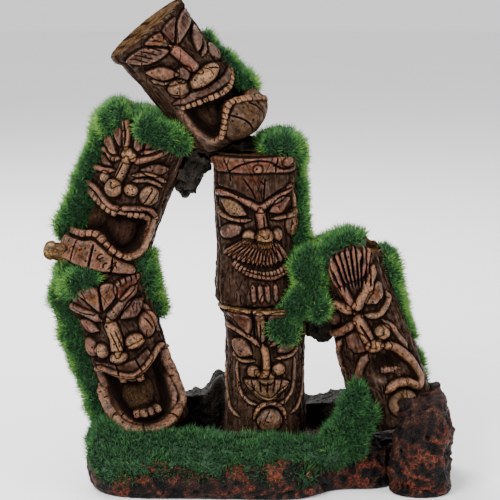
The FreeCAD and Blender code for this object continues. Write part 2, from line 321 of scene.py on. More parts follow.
    def teeth(self, points, count, width, height, level, ochre=0.45, red=0.2):
        """Square teeth along a curve, each standing up to a level above the log's radius."""
        line = self.line(points)
        steps = np.linalg.norm(np.diff(line, axis=0), axis=1)
        run = np.concatenate([[0], np.cumsum(steps)])
        rng = np.random.default_rng(self.seed + count)
        for i in range(count):
            at = run[-1] * (i + 0.5) / count
            x = np.interp(at, run, line[:, 0])
            z = np.interp(at, run, line[:, 1])
            ahead = min(at + 0.5, run[-1])
            dx = np.interp(ahead, run, line[:, 0]) - x
            dz = np.interp(ahead, run, line[:, 1]) - z
            tilt = math.degrees(math.atan2(dz, dx)) + rng.uniform(-5, 5)
            grow = rng.uniform(0.85, 1.1)
            u, v = self.local_axes(x, z, tilt)
            rho = (np.abs(u) / (0.5 * width * grow)) ** 4 + (np.abs(v) / (0.5 * height * grow)) ** 4
            body = np.clip(1 - rho, 0, 1) ** 0.35
            cut = np.exp(-((rho - 1.6) / 0.7) ** 2)
            self.relief = np.maximum(self.relief, self.relief + (level - self.relief) * body)
            # the cut round each tooth is painted dark as shade, and the painted shade on the tooth itself is
            # mostly cleared
            self.painted_shade = np.maximum(self.painted_shade * (1 - 0.8 * body), 0.9 * cut)
            self.tint(body, ochre, red)

    def cracks(self, area, count, length, width=0.7, depth=0.8, slant=8.0):
        """Short weathering cracks, roughly along the log, scattered over an area
        (lowest angle, highest angle, lowest height, highest height)."""
        rng = np.random.default_rng(self.seed * 31 + count)
        for _ in range(count):
            angle = rng.uniform(area[0], area[1])
            height = rng.uniform(area[2], area[3])
            reach = rng.uniform(0.4, 1.0) * length / self.length
            lean = rng.uniform(-slant, slant)
            bend = rng.uniform(-3, 3)
            path = [(angle, height), (angle + 0.5 * lean + bend, height + 0.5 * reach),
                    (angle + lean, height + reach)]
            self.groove(path, width * rng.uniform(0.6, 1.3), depth * rng.uniform(0.5, 1.2))

    def bark(self, strength, spare_face=0.35):
        """Fibrous bark along the log, weaker over the face."""
        flat = self.around.reshape(-1, 3)
        stretched = flat * np.array([1, 1, 0.14])
        coarse = ridged(stretched, 3.6, 2, self.seed).reshape(self.s.shape)
        fine = fractal(stretched, 1.4, 2, self.seed + 5).reshape(self.s.shape)
        lumps = fractal(flat, 14.0, 2, self.seed + 9).reshape(self.s.shape)
        back = spare_face + (1 - spare_face) * smoothstep(55, 85, np.abs(np.degrees(self.angle)))
        self.relief += strength * back * (1.5 * (coarse - 0.6) + 0.35 * fine) + 0.45 * lumps

    def splinter_head(self, left_drop, right_drop, jag, narrowing):
        """A broken head: lower at the sides, torn into splinters, and narrowing upwards."""
        height = self.z / self.length
        across = np.zeros((self.s.size, 3))
        across[:, 0] = self.s.ravel()
        torn = noise(across, 2.6, self.seed)
        rightwards = np.sin(self.angle)
        drop = np.where(rightwards > 0, right_drop, left_drop) * rightwards ** 2
        drop = drop + jag * torn.reshape(self.s.shape)
        self.head_drop += drop * smoothstep(0.55, 1.0, height)
        self.relief -= narrowing * smoothstep(0.3, 1.0, height) * (0.7 + 0.6 * np.maximum(rightwards, 0))

    def lower_chin(self, angle, reach):
        """A chin that juts past the foot on one side."""
        turn = np.maximum(0, np.cos(self.angle - math.radians(angle)))
        self.head_drop += reach * turn * smoothstep(0.30, 0.0, self.z / self.length)

    def surface_noise(self):
        """The small unevenness of a cast and painted surface, with worm holes."""
        flat = self.around.reshape(-1, 3)
        fine = fractal(flat, 2.2, 3, self.seed + 20).reshape(self.s.shape)
        self.relief += 0.26 * fine
        rng = np.random.default_rng(self.seed + 77)
        for _ in range(WORM_HOLES):
            angle = rng.uniform(-80, 80)
            height = rng.uniform(0.04, 0.97)
            x, z = self.place((angle, height))
            radius = rng.uniform(0.3, 0.55)
            near = np.clip(1 - ((self.s - x) ** 2 + (self.z - z) ** 2) / radius ** 2, 0, 1)
            self.relief -= 0.8 * near
            # each worm hole is painted dark as shade
            self.painted_shade = np.maximum(self.painted_shade, np.minimum(1, 2.5 * near))

    def profile(self, foot_round, head_rim):
        """How the log's radius changes along it, apart from the carving."""
        h = self.z
        top = self.length - h
        waist = -1.0 * np.sin(np.pi * np.clip(h / self.length, 0, 1))
        rim = head_rim * smoothstep(6.5, 2.5, top)
        edge = -1.2 * np.clip(1 - top / 1.2, 0, 1) ** 2
        near_foot = np.clip(1 - h / foot_round, 0, 1)
        foot = -LOG_RADIUS * (1 - np.sqrt(np.clip(1 - near_foot ** 2, 0, 1))) * min(1, foot_round / 14)
        return waist + rim + edge + foot

    def paint_levels(self):
        """How far each place stands above (or below) what is round it, for the paint: the material
        dry-brushes the raised places and puts painted shade in the low ones.
        """
        fine = self.relief - blurred(self.relief, max(2, int(5 * DETAIL)))
        broad = self.relief - blurred(self.relief, max(3, int(16 * DETAIL)))
        return np.clip(0.5 + 0.55 * fine + 0.22 * broad, 0, 1)

    def build(self, foot_round, head_rim):
        """Turn the height field into a closed mesh object."""
        radius = LOG_RADIUS + self.profile(foot_round, head_rim) + self.relief
        self.surface = radius
        rows, columns = radius.shape
        level = self.z - self.head_drop
        side = np.stack([radius * np.sin(self.angle), -radius * np.cos(self.angle), level], axis=-1)
        height = self.paint_levels()
        # the paint's alpha is 1 less the painted shade
        paint = np.stack([height, self.ochre, self.red, 1 - self.painted_shade], axis=-1)
        rings = [side[i] for i in range(rows)]
        colours = [paint[i] for i in range(rows)]
        self.close_end(rings, colours, side[-1], self.length, 1)
        self.close_end(rings, colours, side[0], 0.0, -1)
        points = np.concatenate(rings)
        shades = np.concatenate(colours)
        head_end = rows + len(SAWN_RINGS)
        foot_end = head_end + len(SAWN_RINGS)
        order = [*range(foot_end - 1, head_end - 1, -1), *range(rows), *range(rows, head_end)]
        world = points @ self.rotation.T + self.foot
        piece = mesh_object(f"{self.name}_log", world * MM, ring_quads(order, columns),
                            ring_caps=end_caps(order, columns))
        add_colour(piece, "Paint", shades)
        add_vector(piece, "LogSpace", points * MM)
        return piece

    def close_end(self, rings, colours, edge, level, direction):
        """Rings that carry a sawn end's surface from its edge nearly to its middle. The shade
        stays below the paint's gloss, so that the end does not shine when seen edge on."""
        for share in SAWN_RINGS:
            ring = edge.copy()
            ring[:, :2] *= share
            grain = ridged(ring * np.array([1, 0.25, 1]), 3.0, 2, self.seed + 40)
            dish = 0.8 * (1 - share)
            ring[:, 2] = level + (edge[:, 2] - level) * share
            ring[:, 2] += direction * (0.7 * (grain - 0.75) * (1 - share ** 8) - dish)
            rings.append(ring)
            shade = np.clip(0.46 + 1.6 * (grain - 0.70), 0, 0.54)
            ochre = np.full(len(ring), 0.5 if share < 0.97 else 0.9)
            colours.append(np.stack([shade, ochre, 0.2 * shade, 0.35 + 0.4 * shade], axis=-1))

    def to_local(self, world):
        return (world - self.foot) @ self.rotation

    def surface_at(self, angle, level):
        """The carved radius at angles (radians) and levels (mm)."""
        column = np.interp(angle, self.angles, np.arange(len(self.angles)))
        row = np.interp(level, self.levels, np.arange(len(self.levels)))
        i = np.clip(row.astype(int), 0, len(self.levels) - 2)
        j = np.clip(column.astype(int), 0, len(self.angles) - 2)
        fi = row - i
        fj = column - j
        grid = self.surface
        low = grid[i, j] * (1 - fj) + grid[i, j + 1] * fj
        high = grid[i + 1, j] * (1 - fj) + grid[i + 1, j + 1] * fj
        return low * (1 - fi) + high * fi

    def depth_of(self, world):
        """How far world points (mm) lie inside the log: negative outside it."""
        local = self.to_local(world)
        angle = np.arctan2(local[:, 0], -local[:, 1])
        level = local[:, 2]
        side = self.surface_at(angle, np.clip(level, 0, self.length)) - np.hypot(local[:, 0], local[:, 1])
        return np.minimum(side, np.minimum(level, self.length - level))


def linked(name, data):
    """A new object with this data, in the scene."""
    fresh = bpy.data.objects.new(name, data)
    bpy.context.scene.collection.objects.link(fresh)
    return fresh


def ring_quads(order, columns):
    """The faces between rings of points, taken in this order."""
    index = np.arange(columns)
    following = (index + 1) % columns
    faces = []
    for low, high in zip(order, order[1:]):
        a = low * columns
        b = high * columns
        faces.append(np.stack([a + index, a + following, b + following, b + index], axis=1))
    return np.concatenate(faces)


def end_caps(order, columns):
    """The flat faces that close the first and the last ring."""
    first = [order[0] * columns + i for i in range(columns)]
    last = [order[-1] * columns + i for i in range(columns)]
    return [first[::-1], last]


def mesh_object(name, points, quads, ring_caps=(), triangles=()):
    """A mesh object from arrays, in metres."""
    mesh = bpy.data.meshes.new(name)
    quads = np.asarray(quads, np.int32).reshape(-1, 4)
    triangles = np.asarray(triangles, np.int32).reshape(-1, 3)
    corners = [quads.ravel(), triangles.ravel()] + [np.array(cap, np.int32) for cap in ring_caps]
    sizes = [4] * len(quads) + [3] * len(triangles) + [len(cap) for cap in ring_caps]
    loops = np.concatenate(corners)
    starts = np.concatenate([[0], np.cumsum(sizes)[:-1]])
    mesh.vertices.add(len(points))
    mesh.vertices.foreach_set("co", np.ascontiguousarray(points, np.float32).ravel())
    mesh.loops.add(len(loops))
    mesh.loops.foreach_set("vertex_index", loops.astype(np.int32))
    mesh.polygons.add(len(sizes))
    mesh.polygons.foreach_set("loop_start", starts.astype(np.int32))
    mesh.update(calc_edges=True)
    mesh.validate()
    mesh.shade_smooth()
    return linked(name, mesh)


def stand_for(piece, node):
    """The piece stands for a CAD node, on the one rigid body."""
    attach(piece, "root")
    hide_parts(node)


def add_colour(piece, name, values):
    layer = piece.data.attributes.new(name, "FLOAT_COLOR", "POINT")
    layer.data.foreach_set("color", np.ascontiguousarray(values, np.float32).ravel())


def add_vector(piece, name, values):
    layer = piece.data.attributes.new(name, "FLOAT_VECTOR", "POINT")
    layer.data.foreach_set("vector", np.ascontiguousarray(values, np.float32).ravel())


# ------------------------------------------------------------------ faces

def carve_top():
    """Slanted almond eyes, a long nose with a wide ochre bulb, two arcs of beaded teeth."""
    log = CarvedLog("top", 11)
    log.bark(0.8)
    log.plate([(-68, 0.93), (-34, 0.95), (-8, 0.81), (-42, 0.82)], 1.3, red=0.25)
    log.plate([(-28, 0.955), (-4, 0.955), (-3, 0.82)], 0.9, red=0.8, ochre=0.2)
    log.plate([(0, 0.955), (26, 0.955), (2, 0.82)], 0.7, red=0.3)
    log.plate([(3, 0.805), (32, 0.94), (66, 0.93), (62, 0.85), (28, 0.815)], 1.3, red=0.3)
    for i in range(4):
        log.groove([(-56 + 9 * i, 0.94), (-40 + 8 * i, 0.84)], 0.9, 0.6)
    log.almond((-38, 0.715), 8.4, 3.7, 2.8, -38, red=0.7, ochre=0.2)
    log.almond((43, 0.735), 8.0, 3.8, 2.8, 38, red=0.35)
    log.ridge([(-60, 0.72), (-44, 0.65), (-22, 0.60)], 2.2, 1.0, ochre=0.2)
    log.ridge([(62, 0.73), (46, 0.65), (26, 0.62)], 2.2, 1.0, ochre=0.2)
    log.ridge([(-4, 0.83), (0, 0.71), (4, 0.56)], 5.4, 3.6, red=0.9)
    log.dome((8, 0.51), 9.6, 4.2, 4.6, -4, ochre=1.0)
    log.dome((-15, 0.62), 4.0, 3.6, 1.8, red=0.1)
    log.dome((-33, 0.56), 5.6, 4.4, 2.4, -20, ochre=0.45, red=0.2)
    log.groove([(-50, 0.575), (-36, 0.52)], 1.3, 1.3)
    log.dome((55, 0.575), 5.6, 4.6, 2.2, 20, red=0.5)
    log.groove([(66, 0.60), (50, 0.54)], 1.2, 1.1)
    log.groove([(15, 0.54), (27, 0.49)], 1.1, 1.3)
    log.ridge([(-55, 0.49), (-33, 0.47), (-7, 0.43), (16, 0.40), (40, 0.39), (62, 0.42)], 4.2, 1.2, red=0.2)
    log.cavity([(-54, 0.42), (-30, 0.395), (-5, 0.355), (15, 0.318), (36, 0.318), (60, 0.345), (64, 0.24),
                (46, 0.20), (30, 0.235), (16, 0.262), (4, 0.262), (-10, 0.20), (-26, 0.13), (-46, 0.12),
                (-58, 0.25)], 6.0)
    log.dome((-24, 0.27), 9.0, 7.0, 1.6, -30, ochre=0.12, outline=0.0)
    log.teeth([(-50, 0.44), (-35, 0.415), (-16, 0.385), (5, 0.345), (18, 0.333), (30, 0.336), (48, 0.365),
               (62, 0.40)], 14, 2.5, 2.7, 1.4, ochre=0.7)
    log.teeth([(-34, 0.09), (-22, 0.14), (-12, 0.19), (0, 0.235), (10, 0.25), (22, 0.235), (34, 0.205),
               (48, 0.165), (66, 0.11)], 15, 2.6, 2.8, 1.0, ochre=0.75)
    log.dome((26, 0.10), 18.0, 9.0, 2.6, 10, ochre=0.2, outline=0.3)
    log.dome((78, 0.12), 12.0, 10.0, 2.2, red=0.1, outline=0.1)
    log.groove([(-2, 0.20), (8, 0.12), (14, 0.02)], 1.3, 1.2)
    log.groove([(30, 0.19), (40, 0.10), (46, 0.0)], 1.3, 1.2)
    log.cracks((-60, 70, 0.05, 0.9), 16, 7)
    log.lower_chin(62, 4.5)
    log.surface_noise()
    return log.build(foot_round=9.0, head_rim=1.8), log


def carve_left_upper():
    """A knotted forehead, narrow eyes, a bulb nose, and a huge open mouth with a slab jaw."""
    log = CarvedLog("left_upper", 23)
    log.bark(0.8)
    log.plate([(-60, 0.85), (-42, 0.86), (-20, 0.775), (-30, 0.755), (-52, 0.79)], 1.6, red=0.4, ochre=0.15)
    log.plate([(-50, 0.96), (-31, 0.98), (-19, 0.83), (-34, 0.86)], 1.4, red=0.8)
    log.plate([(-27, 1.0), (-15, 1.0), (-5, 0.85), (-14, 0.83)], 2.0, red=0.5, ochre=0.4)
    log.plate([(-10, 1.0), (6, 1.0), (14, 0.87), (2, 0.84)], 1.2, red=0.5)
    log.plate([(12, 1.0), (48, 1.0), (44, 0.93), (18, 0.84)], 0.8, red=0.4)
    log.groove([(-26, 1.02), (-17, 0.93), (-12, 0.84)], 1.5, 1.6)
    log.groove([(-12, 0.98), (-4, 0.92), (-1, 0.85)], 1.5, 1.6)
    log.dome((-2, 0.80), 4.0, 3.6, 3.0, ochre=1.0)
    log.ridge([(5, 0.775), (18, 0.80), (32, 0.853), (52, 0.93)], 3.4, 2.2, red=0.6, ochre=0.2)
    log.ridge([(8, 0.83), (28, 0.88), (46, 0.96)], 2.2, 1.0, red=0.3)
    log.ridge([(-66, 0.74), (-45, 0.755), (-28, 0.735), (-12, 0.76)], 3.0, 2.0, red=0.5, ochre=0.3)
    log.almond((42, 0.765), 8.4, 3.2, 2.0, 16, red=0.35)
    log.almond((-44, 0.70), 7.4, 2.6, 1.8, -8, red=0.3)
    log.ridge([(12, 0.69), (35, 0.725), (68, 0.708)], 2.0, 1.4, ochre=0.45)
    log.ridge([(15, 0.655), (36, 0.69), (62, 0.672)], 2.0, 1.2, ochre=0.2)
    log.ridge([(-80, 0.60), (-50, 0.635), (-33, 0.65), (-16, 0.672)], 3.0, 1.8, red=1.0)
    log.ridge([(-2, 0.78), (-3, 0.70), (-5, 0.59)], 5.0, 3.2, ochre=0.4)
    log.groove([(-4, 0.75), (-8, 0.62)], 1.3, 1.6)
    log.dome((-7, 0.572), 4.6, 4.6, 4.8, ochre=1.0)
    log.dome((17, 0.60), 3.8, 3.0, 2.6, ochre=0.8)
    log.dome((-27, 0.608), 3.0, 2.8, 2.2, ochre=0.7)
    log.dome((46, 0.60), 5.4, 5.2, 2.2, ochre=0.55)
    log.groove([(45, 0.65), (40, 0.54)], 1.1, 1.0)
    log.groove([(54, 0.64), (49, 0.55)], 1.1, 1.0)
    log.ridge([(-80, 0.51), (-39, 0.52), (-18, 0.49), (-2, 0.458), (12, 0.465)], 2.8, 2.4, red=0.7,
              taper=0.05)
    log.ridge([(12, 0.47), (38, 0.505), (55, 0.512), (72, 0.475)], 2.6, 2.0, red=0.5, taper=0.05)
    log.cavity([(-82, 0.42), (-60, 0.45), (-28, 0.452), (-2, 0.425), (20, 0.435), (50, 0.46), (66, 0.42),
                (67, 0.28), (52, 0.21), (37, 0.19), (20, 0.215), (5, 0.25), (-10, 0.27), (-30, 0.235),
                (-60, 0.19), (-82, 0.19)], 6.5)
    log.dome((-40, 0.335), 10.0, 7.6, 2.6, 10, ochre=0.1, outline=0.2)
    log.dome((30, 0.325), 12.5, 8.0, 2.6, -10, red=0.15, outline=0.2)
    log.teeth([(-46, 0.475), (-25, 0.445), (-2, 0.422), (10, 0.42)], 6, 3.0, 3.2, 0.6)
    log.teeth([(24, 0.44), (45, 0.46), (60, 0.455)], 4, 3.0, 3.2, 0.6)
    log.teeth([(-78, 0.185), (-45, 0.208), (-29, 0.225), (-10, 0.258), (5, 0.235), (20, 0.20), (38, 0.183)],
              11, 3.4, 3.4, 1.4, ochre=0.3, red=0.6)
    log.plate([(-84, 0.155), (-60, 0.165), (-26, 0.19), (-8, 0.222), (8, 0.205), (30, 0.165), (60, 0.15),
               (62, 0.09), (31, 0.06), (10, 0.035), (-23, 0.02), (-60, 0.03), (-84, 0.05)], 2.8, 1.6,
              red=0.55, ochre=0.2)
    for angle, low, high in ((-28, 0.03, 0.19), (-1, 0.03, 0.20), (28, 0.05, 0.16), (-58, 0.04, 0.16)):
        log.groove([(angle - 3, high), (angle + 2, low)], 1.5, 2.0)
    log.ridge([(69, 0.48), (73, 0.38), (71, 0.27), (57, 0.20), (40, 0.175)], 2.8, 1.6, ochre=0.6, taper=0.05)
    log.cracks((-60, 60, 0.02, 0.13), 12, 5)
    log.cracks((-60, 60, 0.5, 0.95), 10, 6)
    log.surface_noise()
    return log.build(foot_round=2.5, head_rim=0.8), log


def carve_left_lower():
    """Wedge planks over a V brow, a broad long nose, and a wide U-shaped grin."""
    log = CarvedLog("left_lower", 37)
    log.bark(0.8)
    log.plate([(-50, 0.985), (-38, 0.985), (-18, 0.835), (-26, 0.835), (-48, 0.885)], 1.3, red=0.45)
    log.plate([(-34, 0.985), (-4, 0.985), (-9, 0.84), (-15, 0.84)], 1.7, red=0.6, ochre=0.25)
    log.plate([(0, 0.985), (17, 0.98), (18, 0.90), (-1, 0.835), (-6, 0.84)], 1.4, red=0.5, ochre=0.15)
    log.plate([(21, 0.985), (66, 0.98), (60, 0.955), (22, 0.86)], 1.0, red=0.6)
    for i in range(5):
        log.groove([(27 + 8 * i, 1.0), (26 + 8 * i, 0.95)], 1.2, 1.0)
    log.ridge([(-66, 0.895), (-38, 0.85), (-13, 0.775)], 5.2, 2.4, red=0.15)
    log.ridge([(-5, 0.77), (12, 0.81), (32, 0.865), (52, 0.915)], 5.2, 2.4, red=0.3)
    log.almond((-39, 0.752), 6.6, 3.7, 2.6, -30, red=0.8)
    log.almond((37, 0.79), 8.6, 4.4, 2.6, 20, red=0.25)
    log.ridge([(-3, 0.775), (0, 0.66), (-3, 0.55)], 6.8, 4.0, ochre=0.65, red=0.3)
    log.groove([(-3, 0.70), (1, 0.57)], 0.9, 0.9)
    log.groove([(3, 0.70), (7, 0.55)], 0.9, 0.9)
    log.dome((-4, 0.53), 4.8, 3.2, 3.0, ochre=0.9)
    log.dome((-26, 0.59), 3.8, 4.0, 2.8, ochre=0.7)
    log.dome((25, 0.60), 5.2, 4.0, 3.0, ochre=0.8, red=0.2)
    log.ridge([(10, 0.565), (22, 0.575), (38, 0.59)], 1.8, 1.2, ochre=0.5)
    log.dome((-47, 0.62), 5.0, 5.2, 2.2, red=1.0)
    log.dome((52, 0.668), 5.2, 6.4, 2.2, -15, red=0.8, ochre=0.2)
    log.groove([(48, 0.71), (57, 0.63)], 1.4, 1.5)
    log.ridge([(57, 0.80), (64, 0.70), (69, 0.60)], 3.0, 1.6, red=0.6)
    log.plate([(-52, 0.525), (-30, 0.52), (-8, 0.50), (18, 0.495), (40, 0.53), (42, 0.47), (25, 0.42),
               (8, 0.40), (-10, 0.43), (-34, 0.48)], 0.8, red=0.15)
    log.ridge([(-52, 0.485), (-32, 0.478), (-10, 0.428), (8, 0.40), (25, 0.42), (44, 0.468), (62, 0.51),
               (80, 0.485)], 3.0, 2.4, ochre=0.3, red=0.5, taper=0.05)
    log.groove([(-12, 0.51), (-9, 0.42)], 1.2, 1.3)
    log.groove([(18, 0.50), (22, 0.41)], 1.2, 1.3)
    log.cavity([(-46, 0.45), (-30, 0.445), (-10, 0.395), (8, 0.37), (25, 0.39), (44, 0.44), (64, 0.475),
                (69, 0.40), (70, 0.27), (66, 0.17), (52, 0.11), (33, 0.082), (14, 0.075), (-2, 0.092),
                (-20, 0.14), (-33, 0.20), (-42, 0.28), (-46, 0.36)], 7.0)
    log.dome((6, 0.265), 13.5, 9.0, 3.4, 8, ochre=0.2, outline=0.2)
    log.teeth([(-15, 0.388), (-4, 0.38)], 1, 4.6, 3.8, -0.5, ochre=0.35)
    log.teeth([(13, 0.366), (24, 0.37)], 1, 5.0, 4.0, -0.5, ochre=0.35)
    log.teeth([(-10, 0.158), (5, 0.15), (20, 0.146), (38, 0.15)], 4, 4.4, 4.2, -1.2, ochre=0.25)
    log.ridge([(-54, 0.38), (-49, 0.27), (-38, 0.17), (-24, 0.105), (-3, 0.057), (14, 0.045), (38, 0.054),
               (61, 0.095), (78, 0.155), (79, 0.27), (75, 0.40), (73, 0.50)], 4.8, 2.8, ochre=0.4, red=0.5,
              taper=0.03)
    log.groove([(1, 0.095), (5, 0.02)], 1.3, 2.0)
    log.groove([(46, 0.115), (53, 0.045)], 1.3, 2.0)
    log.groove([(-34, 0.20), (-42, 0.14)], 1.1, 1.6)
    log.cracks((-60, 75, 0.5, 0.97), 16, 6)
    log.surface_noise()
    return log.build(foot_round=4.0, head_rim=1.3), log


def carve_centre_upper():
    """A banded cap, a V brow over slanted eyes, and a fan of flutes over fine teeth."""
    log = CarvedLog("centre_upper", 41)
    log.bark(1.0)
    log.plate([(-78, 0.985), (-8, 0.99), (62, 0.98), (62, 0.872), (14, 0.882), (-12, 0.882), (-46, 0.885),
               (-80, 0.89)], 0.9, red=0.75, ochre=0.1)
    log.groove([(-48, 0.885), (-27, 0.94), (-7, 0.968), (11, 0.958), (23, 0.925), (38, 0.90), (60, 0.908)],
               1.3, 1.1)
    log.groove([(-49, 0.985), (-45, 0.88), (-43, 0.83)], 1.3, 1.3)
    log.groove([(22, 0.985), (21, 0.88)], 1.3, 1.3)
    log.dome((-4, 0.912), 2.0, 2.0, 0.9, red=0.8)
    log.dome((42, 0.948), 3.6, 2.6, 0.6, ochre=0.2)
    log.groove([(-84, 0.80), (-47, 0.768), (-8, 0.705)], 1.3, 1.2)
    log.groove([(4, 0.703), (26, 0.75), (62, 0.795)], 1.3, 1.2)
    log.groove([(-24, 0.85), (-14, 0.78), (-7, 0.715)], 1.1, 1.1)
    log.groove([(6, 0.855), (4, 0.71)], 1.1, 1.1)
    log.tint(log.depth_inside([(-40, 0.86), (0, 0.87), (0, 0.72)]) > 0, 0.0, 0.35)
    log.ridge([(-80, 0.75), (-41, 0.742), (-17, 0.69), (-2, 0.66), (13, 0.695), (31, 0.735), (54, 0.79)],
              3.6, 2.4, red=0.5, taper=0.05)
    log.almond((-43, 0.662), 8.6, 4.4, 2.8, -24, ochre=0.55)
    log.almond((31, 0.668), 7.4, 4.2, 2.8, 24, red=0.8)
    log.ridge([(-80, 0.657), (-63, 0.607), (-37, 0.578), (-15, 0.582)], 2.0, 1.6, ochre=0.4)
    log.ridge([(16, 0.583), (41, 0.589), (60, 0.62), (60, 0.75)], 2.0, 1.6, ochre=0.3, red=0.2)
    log.ridge([(-2, 0.655), (1, 0.56), (4, 0.48)], 5.2, 3.4, red=0.7)
    log.groove([(2, 0.61), (3, 0.52)], 1.1, 1.5)
    log.dome((4, 0.466), 4.6, 4.8, 4.6, ochre=1.0)
    log.dome((-18, 0.476), 3.6, 3.2, 2.4, ochre=0.75, red=0.2)
    log.dome((24, 0.478), 3.0, 3.4, 2.2, ochre=0.3, red=0.6)
    log.dome((-48, 0.505), 7.4, 3.6, 1.8, 12, red=0.4)
    log.dome((57, 0.54), 6.0, 6.8, 2.4, ochre=0.45, red=0.3)
    log.groove([(50, 0.56), (48, 0.50)], 1.1, 1.2)
    log.groove([(60, 0.56), (58, 0.50)], 1.1, 1.2)
    fan_centre = np.array([4, 0.52])
    fan_edge = smooth_line([(-60, 0.352), (-36, 0.316), (-14, 0.291), (4, 0.276), (20, 0.29), (50, 0.325)],
                           steps=3)
    for i, end in enumerate(fan_edge[:-1]):
        start = fan_centre + (end - fan_centre) * 0.36
        log.ridge([start, end], 2.5, 2.2, red=0.25 + 0.35 * (i % 2), ochre=0.15)
    log.teeth([(-42, 0.305), (-33, 0.275), (-19, 0.24), (4, 0.222), (20, 0.23), (42, 0.262)],
              16, 1.7, 3.6, 1.2, ochre=0.1, red=0.1)
    log.ridge([(-28, 0.25), (-14, 0.222), (10, 0.198), (26, 0.208), (46, 0.245)], 1.8, 1.5, red=0.6)
    for angle in (-12, -2, 8, 20):
        log.ridge([(angle - 2, 0.16), (angle, 0.04)], 2.4, 0.9, red=0.7)
    log.cracks((-50, 50, 0.02, 0.14), 14, 8)
    log.cracks((-80, 70, 0.55, 0.9), 12, 5)
    log.surface_noise()
    return log.build(foot_round=3.0, head_rim=1.2), log


def carve_centre_lower():
    """Plank panels under a flared rim, round slanted eyes, an anchor nose, a shield lip."""
    log = CarvedLog("centre_lower", 53)
    log.bark(1.0)
    log.ridge([(-88, 0.985), (-40, 0.988), (-20, 0.985), (-4, 0.985), (30, 0.985), (80, 0.98)], 2.0, 0.7,
              ochre=0.85, taper=0.02)
    log.plate([(-58, 0.965), (-22, 0.965), (-22, 0.83), (-28, 0.83)], 1.0, red=0.5)
    log.plate([(-13, 0.965), (-2, 0.965), (0, 0.80), (-9, 0.79)], 1.0, ochre=0.3, red=0.3)
    log.plate([(4, 0.965), (32, 0.965), (22, 0.83), (5, 0.79)], 0.8, red=0.3)
    log.groove([(-17, 1.0), (-17, 0.90), (-16, 0.80)], 2.0, 2.0)
    log.groove([(-7, 0.90), (-7, 0.755)], 1.1, 1.2)
    log.groove([(2, 0.97), (2, 0.77)], 1.0, 1.0)
    log.ridge([(-74, 0.88), (-42, 0.838), (-20, 0.795), (-9, 0.75)], 2.6, 1.8, ochre=0.3)
    log.ridge([(44, 0.885), (28, 0.825), (18, 0.782), (7, 0.75)], 2.6, 1.8, ochre=0.3)
    log.almond((-39, 0.728), 7.6, 5.0, 3.0, -22, red=0.35, ochre=0.2)
    log.almond((35, 0.757), 7.2, 4.6, 3.0, 33, red=0.4, ochre=0.15)
    log.ridge([(-58, 0.69), (-39, 0.641), (-16, 0.647)], 1.8, 1.5, ochre=0.4)
    log.ridge([(15, 0.662), (39, 0.676), (56, 0.735)], 1.8, 1.5, ochre=0.4)
    log.ridge([(-4, 0.76), (0, 0.70), (1, 0.62), (0, 0.55)], 3.8, 3.4, ochre=0.75, red=0.3)
    log.ridge([(0, 0.56), (-8, 0.56), (-13, 0.585)], 2.6, 2.2, ochre=0.8)
    log.dome((-18, 0.577), 3.6, 3.0, 2.4, ochre=0.6, red=0.2)
    log.dome((19, 0.59), 3.6, 3.2, 2.4, ochre=0.6)
    log.dome((1, 0.545), 4.4, 3.6, 3.0, ochre=0.95)
    log.groove([(5, 0.59), (3, 0.53)], 0.9, 1.3)
    log.plate([(-34, 0.51), (-20, 0.454), (-7, 0.405), (2, 0.385), (10, 0.392), (20, 0.428), (37, 0.49),
               (28, 0.52), (10, 0.53), (-10, 0.53), (-28, 0.525)], 1.6, ochre=0.3)
    log.ridge([(-34, 0.51), (-20, 0.452), (-7, 0.403), (8, 0.388), (20, 0.426), (37, 0.492)], 1.8, 1.3,
              ochre=0.8)
    for angle in (-20, -8, 3, 13, 24):
        log.groove([(angle, 0.52), (0.8 * angle, 0.44)], 1.1, 1.1)
    log.ridge([(-47, 0.67), (-45, 0.55), (-40, 0.44), (-26, 0.37), (-10, 0.345)], 1.8, 1.0, ochre=0.3)
    log.ridge([(46, 0.67), (46, 0.55), (42, 0.44), (30, 0.37), (14, 0.345)], 1.8, 1.0, ochre=0.3)
    log.ridge([(-78, 0.62), (-71, 0.40), (-59, 0.30), (-40, 0.252)], 1.8, 1.2, ochre=0.55)
    log.ridge([(72, 0.62), (66, 0.42), (54, 0.32), (40, 0.28)], 1.8, 1.2, ochre=0.3)
    log.ridge([(-17, 0.25), (-13, 0.295), (-8, 0.338), (5, 0.365), (19, 0.343), (27, 0.30), (30, 0.25)],
              2.4, 1.8, ochre=0.75)
    log.dome((6, 0.25), 6.5, 6.0, 3.0, ochre=0.3)
    log.cracks((-80, 80, 0.05, 0.5), 26, 9)
    log.surface_noise()
    return log.build(foot_round=3.0, head_rim=2.4), log


